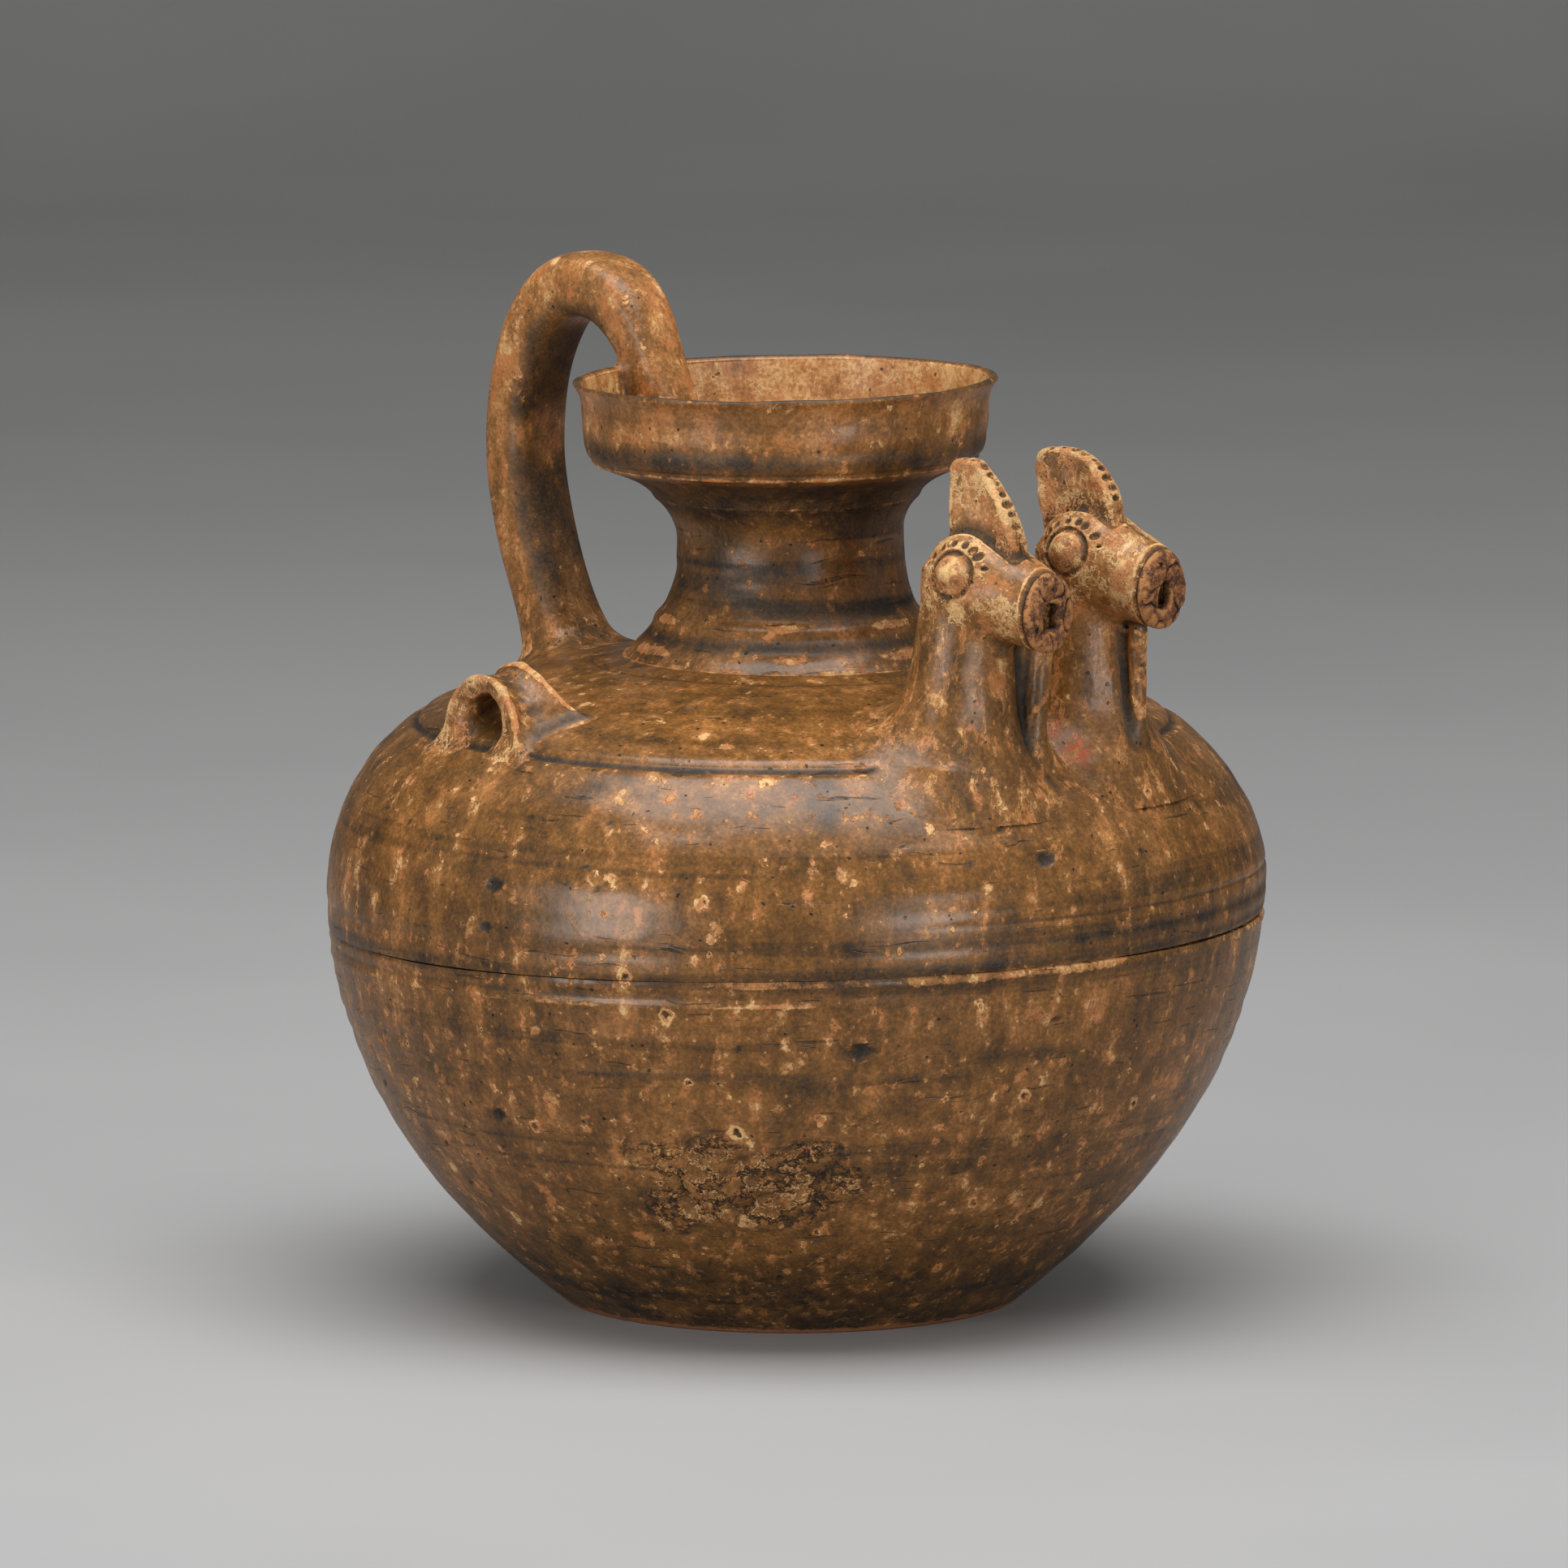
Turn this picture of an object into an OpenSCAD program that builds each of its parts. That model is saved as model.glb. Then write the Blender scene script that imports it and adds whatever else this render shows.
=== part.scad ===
// Chicken head ewer: a glazed stoneware jar with a dish mouth, a high handle, two bridge lugs and two
// chicken-head spouts. Each piece of clay that the potter luted on is a solid of its own.
// The origin is the middle of the base, +Z is up and +X points to the spouts.

/* [Body] */
// Diameter of the flat base
base_d = 93; // [84:1:100]
// Widest diameter of the belly
belly_d = 190; // [180:1:200]
// Height of the widest place
belly_z = 85; // [81:1:90]
// Angle of the wall above the floor where it leaves the base
foot_angle = 44; // [36:1:52]
// How far the wall keeps that angle
foot_pull = 4; // [2:0.5:8]
// How far the wall stays upright below the widest place
lower_pull = 51; // [44:1:58]
// How far the wall stays upright above the widest place
upper_pull = 18; // [14:1:20]
// Height of the seam where the two thrown halves are luted
seam_z = 78; // [72:1:80]
// How far the upper half stands proud of the lower one at the seam
seam_step = 0.7; // [0.2:0.1:1.2]
// Thickness of the wall
wall = 5.5; // [4.5:0.5:6.5]
// Thickness of the floor
floor_t = 8; // [6:0.5:10]

/* [Shoulder] */
// How far the incised groove lies inside the widest place of the belly
groove_in = 18; // [16:0.5:21]
// Height of the groove
groove_z = 117.8; // [115:0.2:120]
// Radius of the tool that cut the groove
groove_r = 0.9; // [0.5:0.1:1.4]
// Slope of the shoulder at the groove, in degrees
groove_slope = 31; // [26:1:36]
// Height of the flat seat of the neck
seat_z = 131; // [129:0.5:134]
// Slope of the shoulder at the neck, in degrees
seat_slope = 9; // [5:1:14]

/* [Neck] */
// Diameter of the neck where it sits on the shoulder
neck_foot_d = 67; // [62:1:72]
// Diameter of the waist
waist_d = 45.6; // [42:0.2:49]
// Height of the waist above the shoulder seat
waist_h = 22; // [18:1:25]
// Diameter of the top, under the mouth
neck_top_d = 53.4; // [50:0.2:56]
// Height of the neck
neck_h = 32; // [29:1:35]
// Thickness of the neck's wall
neck_wall = 5; // [4:0.5:6]
// How far the two ribs stand out
rib_h = 1.2; // [0.6:0.1:1.6]
// Half the width of a rib
rib_w = 1.2; // [0.8:0.1:1.6]
// Height of the lower rib above the shoulder seat
low_rib_rise = 1.6; // [1:0.2:2.4]
// Height of the upper rib above the shoulder seat
rib_rise = 8; // [6:0.5:10]

/* [Dish mouth] */
// Diameter at the ledge between underside and wall
ledge_d = 79; // [76:0.5:81]
// Height of the ledge above the neck
ledge_h = 7.6; // [6.6:0.2:8.6]
// Diameter of the lip
rim_d = 85.8; // [82:0.2:90]
// Height of the mouth
mouth_h = 24; // [22:0.5:27]
// Thickness of the mouth's wall
mouth_wall = 4.4; // [3.6:0.2:5]
// Thickness of the lip
lip_t = 2; // [1.4:0.2:2.6]

/* [Handle] */
// Thickness of the handle, in its plane
handle_t = 13; // [11:0.5:14]
// Width of the handle, across its plane
handle_w = 15.5; // [13:0.5:17]
// How far the foot stands inside the shoulder groove
handle_in = 13.5; // [11:0.5:17]
// Angle of the handle above the floor at its foot, in degrees
handle_lean = 64; // [56:1:72]
// How much wider the foot is than the handle, as a share
handle_flare = 0.45; // [0.2:0.05:0.6]
// How far the handle bows out beyond its foot, at the handle's middle line
handle_bow = 13.5; // [11:0.5:16]
// Height of the outermost stretch above the shoulder seat
handle_reach_h = 36; // [32:1:40]
// How far the top of the arch stands outside the lip, at the handle's middle line
handle_top_out = 13.6; // [11:0.2:16]
// Height of the arch above the lip, at the handle's middle line
handle_rise = 15; // [12:0.5:18]
// Angle between the handle's end and the floor, seen from the spouts' side, in degrees
tip_lean = 118; // [108:1:126]
// How deep the handle's end reaches into the mouth
handle_tip_drop = 12; // [10.5:0.5:13.5]
// How far the handle's end stands inside the lip, at the handle's middle line
handle_tip_in = 8; // [6.5:0.5:9]
// How much slimmer the handle gets from the top of its arch to its end, as a share
handle_slim = 0.25; // [0.1:0.05:0.35]

/* [Lugs] */
// Angle of the lugs from the spouts, in degrees
lug_angle = 100; // [92:1:106]
// Length of a lug at its feet, along the slope of the shoulder
lug_len = 15; // [13:0.5:18]
// How much further in each end of a lug stands at its top than at its feet
lug_pinch = 2.8; // [1.6:0.2:3.6]
// Width across a lug
lug_w = 25; // [23:0.5:27]
// Width of the eye through a lug
lug_eye_w = 12; // [10:0.5:13]
// Height of the eye above the shoulder
lug_eye_h = 10; // [9:0.2:10.6]
// Height of a lug above the shoulder
lug_h = 14.5; // [13.5:0.5:17]
// How deep the saddle dips in the middle of a lug
lug_dip = 1.4; // [0.8:0.2:2]
// How far the lug's outer end stays inside the groove
lug_inset = 0.5; // [-2:0.5:3]
// Slope of the eye through a lug, in degrees
lug_tilt = 10; // [8:1:18]

/* [Spout necks] */
// Angle of the pair of spouts from the line of the handle, in degrees
pair_turn = -3; // [-6:1:6]
// How far the necks' feet stand inside the shoulder groove, along the spouts
spout_in = 10.2; // [8:0.2:12]
// Distance between the middles of the two feet
foot_gap = 34.5; // [34:0.5:38]
// Radius of a neck
spout_r = 11.5; // [10.5:0.1:12.2]
// How much a neck widens where it meets the shoulder
spout_flare = 2.2; // [1.6:0.1:2.8]
// How fast a neck widens towards its foot
spout_fall = 12; // [10:0.5:14]
// Height below the foot's middle at which a neck stops widening
spout_skirt = 4; // [2:0.5:6]
// Radius of the passage in a neck
passage_r = 5; // [4:0.25:6]

/* [Heads] */
// How far the heads' middles stand in front of the necks' feet
head_fore = 2.5; // [0.5:0.1:4.2]
// Distance between the middles of the two heads
head_gap = 30.8; // [30:0.2:34]
// How far both heads lean to the left
head_shift = 0.8; // [0:0.2:2]
// Angle by which the birds look to the left, in degrees
bird_yaw = 11; // [0:1:14]
// Height of the head's middle above the foot of its neck
head_h = 32.6; // [31:0.2:35]
// How much higher the left head stands
left_lift = 2; // [0:0.2:3]
// Radius of the ball of the head
head_r = 10.5; // [9.8:0.1:11.2]
// Reach of the beak in front of the head's middle
beak_reach = 20; // [18:0.5:22]
// Drop of the beak's end below the head's middle
beak_drop = 6.8; // [5.8:0.2:7.8]
// Radius of the beak where it meets its collar
beak_r = 7.4; // [7:0.1:8.2]
// Angle at which the beak's end looks down
beak_tilt = 3; // [0:1:8]
// Radius of the collar at the beak's end
collar_r = 7.3; // [7:0.1:8]
// Length of the collar
collar_len = 2.4; // [1.8:0.2:3.4]
// Radius of the collar's worn edge
collar_edge = 1; // [0.6:0.1:1.4]
// Radius of the pour opening
pour_r = 3.7; // [3.2:0.1:4.2]

/* [Combs and eyes] */
// Length of the comb at its root
comb_len = 15; // [13:0.5:17]
// How far the comb's root reaches behind the head's middle
comb_back = 3.4; // [2.6:0.2:4.6]
// Height of the comb's tip above the head's middle
comb_h = 23.4; // [21:0.2:26]
// How far the left comb sits further back than the right one
left_comb_shift = 3.6; // [0:0.2:5]
// How much lower the left comb is than the right one
left_comb_drop = 2.8; // [0:0.2:4]
// Length of the rounded top of a comb
comb_crown = 5.5; // [4.5:0.5:7]
// How far a comb leans back at its tip
comb_lean = 1; // [0:0.2:2]
// How round the front of the right comb is, from 0 to 1
comb_round_right = 0.35; // [0:0.05:1]
// How round the front of the left comb is, from 0 to 1
comb_round_left = 0.9; // [0:0.05:1]
// Thickness of the comb at its root
comb_t = 5.8; // [5:0.2:7]
// Thickness of the comb at its tip
comb_tip_t = 4; // [3.2:0.2:4.8]
// Radius of an eye pellet
eye_r = 4.1; // [3.7:0.1:4.6]
// How far an eye stands out of the head
eye_out = 1.7; // [1.2:0.1:2.2]
// How far forward an eye looks, in degrees
eye_yaw = 4; // [0:1:14]
// How far upward an eye looks, in degrees
eye_pitch = 8; // [2:1:14]

/* [Throat rolls] */
// Radius of a roll
roll_r = 2.5; // [2.1:0.1:3]
// Length of a roll
roll_len = 18; // [15:0.5:20]
// How far a roll's middle line stands out of the neck
roll_out = 1.7; // [1.2:0.1:2.1]
// How far the right roll sits round towards the left neck, in degrees
right_roll_turn = 36; // [0:1:40]
// Height of a roll's lower end above the foot of its neck
roll_h = 2; // [1:0.5:4]

/* [Hidden] */

$fn = 72;
left = 1;
right = -1;
outer = 1;
inner = -1;
steps = 14;
quarter = [0 : 15 : 90];
glaze = "#7a5a2c";
worn_glaze = "#a67b42";
dark_glaze = "#5c4424";

base_r = base_d / 2;
belly_r = belly_d / 2;
groove = [belly_r - groove_in, groove_z];
seat = [neck_foot_d / 2, seat_z];
waist_r = waist_d / 2;
neck_top_r = neck_top_d / 2;
neck_top_z = seat_z + neck_h;
ledge = [ledge_d / 2, neck_top_z + ledge_h];
rim = [rim_d / 2, neck_top_z + mouth_h];
past = 1;

// A point at a distance and an angle, and a cubic curve between two points with two handles
function polar(length, angle) = length * [cos(angle), sin(angle)];
function curve_point(a, b, c, d, t) =
  pow(1 - t, 3) * a + 3 * pow(1 - t, 2) * t * b + 3 * (1 - t) * t * t * c + t * t * t * d;
function curve(a, b, c, d, n) = [for (i = [0 : n]) curve_point(a, b, c, d, i / n)];
function backwards(points) = [for (i = [len(points) - 1 : -1 : 0]) points[i]];
function without_first(points) = [for (i = [1 : len(points) - 1]) points[i]];

// Outline of the jar as [radius, height] from the base to the neck's seat, moved into the clay by depth
shoulder_span = groove[0] - seat[0];
groove_pull = upper_pull / 3;
shoulder_pull = 0.345 * shoulder_span;
seat_pull = 0.3 * shoulder_span;
function foot_at(depth) = [base_r, 0] + polar(depth, foot_angle + 90);
function belly_at(depth) = [belly_r - depth, belly_z];
function groove_at(depth) = groove + polar(depth, 270 - groove_slope);
function seat_at(depth) = seat + polar(depth, 270 - seat_slope);
function jar_outline(depth) = concat(
  curve(
    foot_at(depth), foot_at(depth) + polar(foot_pull, foot_angle),
    belly_at(depth) - [0, lower_pull], belly_at(depth), steps
  ),
  without_first(curve(
    belly_at(depth), belly_at(depth) + [0, upper_pull],
    groove_at(depth) + polar(groove_pull, -groove_slope), groove_at(depth), steps
  )),
  without_first(curve(
    groove_at(depth), groove_at(depth) + polar(shoulder_pull, 180 - groove_slope),
    seat_at(depth) + polar(seat_pull, -seat_slope), seat_at(depth), steps
  ))
);
jar_outside = jar_outline(0);
jar_inside = jar_outline(wall);
function radius_at(outline, z) = lookup(z, [for (p = outline) [p[1], p[0]]]);
function shoulder_z(r) = lookup(r, [for (p = jar_outside) if (p[1] >= belly_z) p]);
function below(outline, z) = concat([for (p = outline) if (p[1] < z) p], [[radius_at(outline, z), z]]);
function above(outline, z) = concat([[radius_at(outline, z), z]], [for (p = outline) if (p[1] > z) p]);

// The solid outside of the jar, which every piece that sits on the shoulder is cut to
module jar_envelope() {
  rotate_extrude() polygon(concat([[0, 0]], jar_outside, [[0, seat_z]]));
}

seam_fade = 6;
module lower_body() {
  outside = [
    for (p = below(jar_outside, seam_z)) p - [seam_step * pow(p[1] / seam_z, seam_fade), 0]
  ];
  inside = above(below(jar_inside, seam_z), floor_t);
  color(glaze)
    rotate_extrude() polygon(concat([[0, 0]], outside, backwards(inside), [[0, floor_t]]));
}

module upper_body() {
  outside = above(jar_outside, seam_z);
  inside = above(jar_inside, seam_z);
  top = [[seat[0] - neck_wall, seat_z], [seat[0] - neck_wall, seat_at(wall)[1]]];
  color(glaze)
    difference() {
      rotate_extrude() polygon(concat(outside, top, backwards(inside)));
      rotate_extrude() translate(groove) circle(groove_r);
      pair() for (side = [left, right]) spout_passage(side);
    }
}

// Radius of the neck at a height above its seat, without the ribs
neck_lower_bend = 2.2;
neck_upper_bend = 3;
function neck_radius(h) = h < waist_h
  ? waist_r + (seat[0] - waist_r) * pow(1 - h / waist_h, neck_lower_bend)
  : waist_r + (neck_top_r - waist_r) * pow((h - waist_h) / (neck_h - waist_h), neck_upper_bend);
function rib(h, rise) = rib_h * exp(-pow((h - rise) / rib_w, 2));

module neck() {
  stations = 40;
  heights = [for (i = [0 : stations]) neck_h * i / stations];
  outside = [for (h = heights) [neck_radius(h) + rib(h, low_rib_rise) + rib(h, rib_rise), seat_z + h]];
  inside = [for (h = heights) [neck_radius(h) - neck_wall, seat_z + h]];
  color(dark_glaze)
    rotate_extrude() polygon(concat(outside, backwards(inside)));
}

// The mouth: a flared underside, a ledge, a wall that leans out to a thin lip, and a funnel inside
underside_slope = atan2(ledge_h, ledge[0] - neck_top_r);
lip_inside = rim - [lip_t, 0];
ledge_inside = ledge + polar(mouth_wall, underside_slope + 90);
throat = [neck_top_r - neck_wall, neck_top_z + mouth_wall];
throat_angle = 50;
ledge_angle = underside_slope - 4;
underside_pull = ledge_h / 2;
wall_pull = mouth_h / 4;
wall_bow = mouth_wall / 4;
module dish_mouth() {
  neck_edge = [neck_top_r, neck_top_z];
  underside = curve(
    neck_edge, neck_edge + polar(underside_pull, throat_angle),
    ledge - polar(underside_pull, ledge_angle), ledge, steps
  );
  wall_outside = curve(
    ledge, ledge + [wall_bow, wall_pull / 2], rim - [wall_bow, wall_pull], rim, steps
  );
  wall_inside = curve(
    lip_inside, lip_inside - [wall_bow, wall_pull],
    ledge_inside + [2 * wall_bow, wall_pull / 2], ledge_inside, steps
  );
  color(worn_glaze)
    rotate_extrude()
      polygon(concat(
        underside, without_first(wall_outside), wall_inside, [throat, [throat[0], neck_top_z]]
      ));
}

// The handle's middle line in the XZ plane: foot, outermost stretch, top of the arch and end
foot_sink = handle_t / 2;
handle_foot_r = groove[0] - handle_in;
handle_foot = [-handle_foot_r, shoulder_z(handle_foot_r)];
handle_out = [handle_foot[0] - handle_bow, seat_z + handle_reach_h];
handle_top = [-rim[0] - handle_top_out, rim[1] + handle_rise];
handle_tip_z = rim[1] - handle_tip_drop;
handle_tip_r = lip_inside[0] - handle_tip_in;
handle_tip = [-handle_tip_r, handle_tip_z];
foot_share = 0.5;
reach_share = 0.45;
arch_share = 0.56;
tip_share = 0.75;
handle_root = handle_foot + polar(foot_sink, -handle_lean);
handle_line = concat(
  curve(
    handle_root, handle_root + polar(foot_share * handle_reach_h, 180 - handle_lean),
    handle_out - [0, reach_share * handle_reach_h], handle_out, steps
  ),
  without_first(curve(
    handle_out, handle_out + [0, arch_share * (handle_top[1] - handle_out[1])],
    handle_top - [arch_share * (handle_top[0] - handle_out[0]), 0], handle_top, steps
  )),
  without_first(curve(
    handle_top, handle_top + [arch_share * (handle_tip[0] - handle_top[0]), 0],
    handle_tip + polar(tip_share * (handle_top[1] - handle_tip[1]), tip_lean), handle_tip, steps
  ))
);

// A ring of points round the middle line, a squared oval that widens at the foot, slims and rounds off
handle_sides = 28;
handle_square = 2.6;
flare_rings = 4;
round_rings = 3;
end_round = 0.86;
function squared(v) = sign(v) * pow(abs(v), 2 / handle_square);
function handle_dir(i) =
  let (d = handle_line[min(i + 1, len(handle_line) - 1)] - handle_line[max(i - 1, 0)]) d / norm(d);
function handle_size(i) =
  let (
    from_end = len(handle_line) - 1 - i,
    foot = 1 + handle_flare * exp(-pow(i / flare_rings, 2)),
    slim = 1 - handle_slim * max(steps - from_end, 0) / steps,
    end = from_end >= round_rings ? 1 : sqrt(1 - pow(end_round * (1 - from_end / round_rings), 2))
  ) foot * slim * end;
function handle_ring(i) = [
  for (k = [0 : handle_sides - 1])
    let (
      a = 360 * k / handle_sides,
      d = handle_dir(i),
      u = squared(cos(a)) * handle_t / 2 * handle_size(i),
      v = squared(sin(a)) * handle_w / 2 * handle_size(i)
    ) [handle_line[i][0] - d[1] * u, v, handle_line[i][1] + d[0] * u]
];

module handle_strap() {
  rings = len(handle_line);
  points = [for (i = [0 : rings - 1]) each handle_ring(i)];
  function at(i, k) = i * handle_sides + k % handle_sides;
  walls = [
    for (i = [0 : rings - 2], k = [0 : handle_sides - 1])
      each [[at(i, k), at(i + 1, k), at(i, k + 1)], [at(i, k + 1), at(i + 1, k), at(i + 1, k + 1)]]
  ];
  start = [for (k = [0 : handle_sides - 1]) at(0, k)];
  end = [for (k = [handle_sides - 1 : -1 : 0]) at(rings - 1, k)];
  polyhedron(points, concat(walls, [start, end]), convexity = 6);
}

module handle() {
  color(worn_glaze)
    difference() {
      handle_strap();
      jar_envelope();
      dish_mouth();
    }
}

// A bridge lug: an arch with a saddle-shaped back, its ends leaning in and its eye along its own tilt
lug_outer_r = lug_w / 2;
lug_eye_r = lug_eye_w / 2;
lug_eye_z = lug_eye_h - lug_eye_r;
lug_leg = lug_h - lug_outer_r;
lug_sink = lug_len / 2;
lug_end_r = groove[0] - lug_inset;

module lug_section() {
  back = [
    for (i = [0 : steps])
      let (t = 2 * i / steps - 1)
        [lug_outer_r - lug_dip * (1 - t * t), lug_len / 2 * t]
  ];
  polygon(concat([[0, -lug_len / 2]], back, [[0, lug_len / 2]]));
}

module lug_arch() {
  translate([0, 0, lug_leg])
    rotate([0, 90, 0]) rotate([0, 0, 90]) rotate_extrude(angle = 180) lug_section();
  for (turn = [0, 180])
    rotate([0, 0, turn])
      translate([0, 0, -lug_sink])
        linear_extrude(lug_leg + lug_sink) rotate([0, 0, 90]) lug_section();
}

module lug_side_view() {
  high = lug_len / 2 - lug_pinch;
  low = lug_len / 2 + lug_pinch * lug_sink / lug_h;
  rotate([90, 0, 0])
    linear_extrude(2 * lug_w, center = true)
      polygon([[-low, -lug_sink], [low, -lug_sink], [high, lug_h], [-high, lug_h]]);
}

module lug_eye() {
  rotate([90, 0, 90])
    linear_extrude(2 * lug_len, center = true) {
      translate([0, lug_eye_z]) circle(lug_eye_r);
      translate([-lug_eye_r, -lug_len]) square([lug_eye_w, lug_len + lug_eye_z]);
    }
}

module lug(side) {
  color(glaze)
    difference() {
      rotate([0, 0, side * lug_angle])
        translate([lug_end_r, 0, shoulder_z(lug_end_r)])
          rotate([0, lug_tilt, 0])
            translate([-lug_len / 2, 0, 0])
              difference() {
                intersection() {
                  lug_arch();
                  lug_side_view();
                }
                lug_eye();
              }
      jar_envelope();
    }
}

// The birds stand in a frame of their own, turned with the pair: the foot of a neck on the shoulder,
// the middle of a head and the end of a beak
module pair() {
  rotate([0, 0, pair_turn]) children();
}
facing = [cos(bird_yaw), sin(bird_yaw), 0];
function lift(side) = side == left ? left_lift : 0;
spout_x = groove[0] - spout_in;
head_x = spout_x + head_fore;
function spout_foot(side) =
  let (y = foot_gap / 2) [spout_x, side * y, shoulder_z(norm([spout_x, y]))];
function head_mid(side) =
  [head_x, side * head_gap / 2 + head_shift, spout_foot(side)[2] + head_h + lift(side)];
function beak_end(side) = head_mid(side) + beak_reach * facing - [0, 0, beak_drop];

// Places its children at a point, with their Z axis along a direction
module aim(point, direction) {
  translate(point)
    rotate([0, acos(direction[2] / norm(direction)), atan2(direction[1], direction[0])]) children();
}
module along_neck(side) {
  aim(spout_foot(side), head_mid(side) - spout_foot(side)) children();
}
module along_beak(side) {
  aim(head_mid(side), beak_end(side) - head_mid(side)) children();
}
// The frame of the pour opening: at the beak's end, Z pointing out of it
module at_beak_end(side) {
  translate(beak_end(side)) rotate([0, 90 + beak_tilt, bird_yaw]) children();
}

// The passage from the jar's inside up the neck into the head, and on through the beak
passage_sink = 3 * wall;
module spout_passage(side) {
  along_neck(side) translate([0, 0, -passage_sink]) cylinder(r = passage_r, h = passage_sink + head_h);
}
module pour_passage(side) {
  at_beak_end(side) translate([0, 0, -beak_reach]) cylinder(r = pour_r, h = beak_reach + past);
}

// The outside of a neck: a tube that widens towards its foot and stays on its own side of the pair
neck_sink = spout_r + spout_flare;
neck_taper = 4;
function neck_length(side) = norm(head_mid(side) - spout_foot(side));
function tube_radius(side, h) =
  spout_r
  + spout_flare * exp(-max(h, -spout_skirt) / spout_fall)
  + (head_r - spout_r) * pow(max(h, 0) / neck_length(side), neck_taper);
module neck_tube(side) {
  heights = [for (i = [0 : steps]) -neck_sink + (neck_length(side) + neck_sink) * i / steps];
  along_neck(side)
    rotate_extrude()
      polygon(concat(
        [[0, -neck_sink]],
        [for (h = heights) [tube_radius(side, h), h]],
        [[0, neck_length(side)]]
      ));
}
module other_side(side) {
  translate([0, -side * belly_d, 0]) cube(2 * belly_d, center = true);
}

module spout_neck(side) {
  color(glaze)
    pair()
      difference() {
        neck_tube(side);
        other_side(side);
        jar_envelope();
        head_pear(side);
        spout_passage(side);
        pour_passage(side);
      }
}

// The outside of a head: a ball that runs out tangentially into the cone of the beak
beak_len = norm([beak_reach, beak_drop]);
beak_span = norm([beak_r, beak_len]);
tangent_angle = asin(head_r / beak_span) - atan2(beak_r, beak_len);
module collar_place(side) {
  at_beak_end(side) translate([0, 0, -collar_len]) cylinder(r = 2 * collar_r, h = 4 * collar_len);
}
module head_pear(side) {
  ball = [for (i = [0 : steps]) polar(head_r, -90 + (90 + tangent_angle) * i / steps)];
  difference() {
    along_beak(side)
      rotate_extrude() polygon(concat(ball, [[beak_r, beak_len], [0, beak_len]]));
    collar_place(side);
  }
}

module head(side) {
  color(worn_glaze)
    pair()
      difference() {
        head_pear(side);
        spout_passage(side);
        pour_passage(side);
      }
}

module beak_collar(side) {
  color(dark_glaze)
    pair()
      at_beak_end(side)
        rotate_extrude()
          polygon(concat(
            [[pour_r, -collar_len], [collar_r, -collar_len]],
            [for (a = quarter) [collar_r - collar_edge, -collar_edge] + polar(collar_edge, a)],
            [[pour_r, 0]]
          ));
}

// The comb: its side view and its front view, each pulled through the other
comb_root = 0.3 * head_r;
comb_nose = 0.65 * head_r;
bow_share = 0.55;
crown_share = 0.75;
flank_low = 0.7;
flank_high = 0.85;
function tip_h(side) = comb_h - (side == left ? left_comb_drop : 0);
function back_of(side) = comb_back + (side == left ? left_comb_shift : 0);
function comb_round(side) = side == left ? comb_round_left : comb_round_right;
module comb_side(side) {
  back = -back_of(side);
  nose = [back + comb_len, comb_nose];
  crown = [back - comb_lean + comb_crown, tip_h(side)];
  span = crown - nose;
  bow = comb_round(side);
  chord = (1 - bow) / 3 * span;
  polygon(concat(
    [[nose[0], comb_root]],
    curve(
      nose, nose + chord + [0, bow_share * bow * span[1]],
      crown - chord - [bow_share * bow * span[0], 0], crown, steps
    ),
    without_first(curve(
      crown, crown - [crown_share * comb_crown, 0], [back - comb_lean, tip_h(side)],
      [back - comb_lean, tip_h(side) - crown_share * comb_crown], steps
    )),
    [[back, comb_nose], [back, comb_root]]
  ));
}
module comb_front(side) {
  top = tip_h(side) + past;
  flank = curve(
    [comb_t / 2, comb_nose], [comb_t / 2, flank_low * top],
    [comb_tip_t / 2, flank_high * top], [comb_tip_t / 2, top], steps
  );
  polygon(concat(
    [[comb_t / 2, comb_root]], flank,
    [for (p = backwards(flank)) [-p[0], p[1]]], [[-comb_t / 2, comb_root]]
  ));
}
module comb(side) {
  color(worn_glaze)
    pair()
      difference() {
        translate(head_mid(side))
          rotate([0, 0, bird_yaw])
            intersection() {
              rotate([90, 0, 0]) translate([0, 0, -comb_t]) linear_extrude(2 * comb_t) comb_side(side);
              rotate([90, 0, 90])
                translate([0, 0, -2 * comb_len]) linear_extrude(4 * comb_len) comb_front(side);
            }
        head_pear(side);
      }
}

// An eye: a domed pellet pressed on the ball of the head, looking sideways and a little forward
eye_sink = eye_r / 2;
module eye(side, place) {
  look_yaw = bird_yaw + side * place * (90 - eye_yaw);
  look = [cos(look_yaw) * cos(eye_pitch), sin(look_yaw) * cos(eye_pitch), sin(eye_pitch)];
  seat_h = sqrt(head_r * head_r - eye_r * eye_r);
  top_h = head_r + eye_out;
  color(worn_glaze)
    pair()
      difference() {
        aim(head_mid(side), look)
          rotate_extrude()
            polygon(concat(
              [[0, seat_h - eye_sink], [eye_r, seat_h - eye_sink]],
              [for (i = [0 : steps])
                let (a = 90 * i / steps) [eye_r * cos(a), seat_h + (top_h - seat_h) * sin(a)]]
            ));
        head_pear(side);
        neck_tube(side);
      }
}

// A roll of clay with round ends, standing on the front of the neck under the beak
function roll_yaw(side) = bird_yaw + (side == right ? right_roll_turn : 0);
module throat_roll(side) {
  out = spout_r + roll_out;
  foot = spout_foot(side) + [out * cos(roll_yaw(side)), out * sin(roll_yaw(side)), roll_h + roll_r];
  color(glaze)
    pair()
      difference() {
        aim(foot, head_mid(side) - spout_foot(side))
          rotate_extrude()
            polygon(concat(
              [for (a = quarter) polar(roll_r, a - 90)],
              [for (a = quarter) [0, roll_len - 2 * roll_r] + polar(roll_r, a)]
            ));
        neck_tube(side);
        head_pear(side);
        collar_place(side);
      }
}

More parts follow.
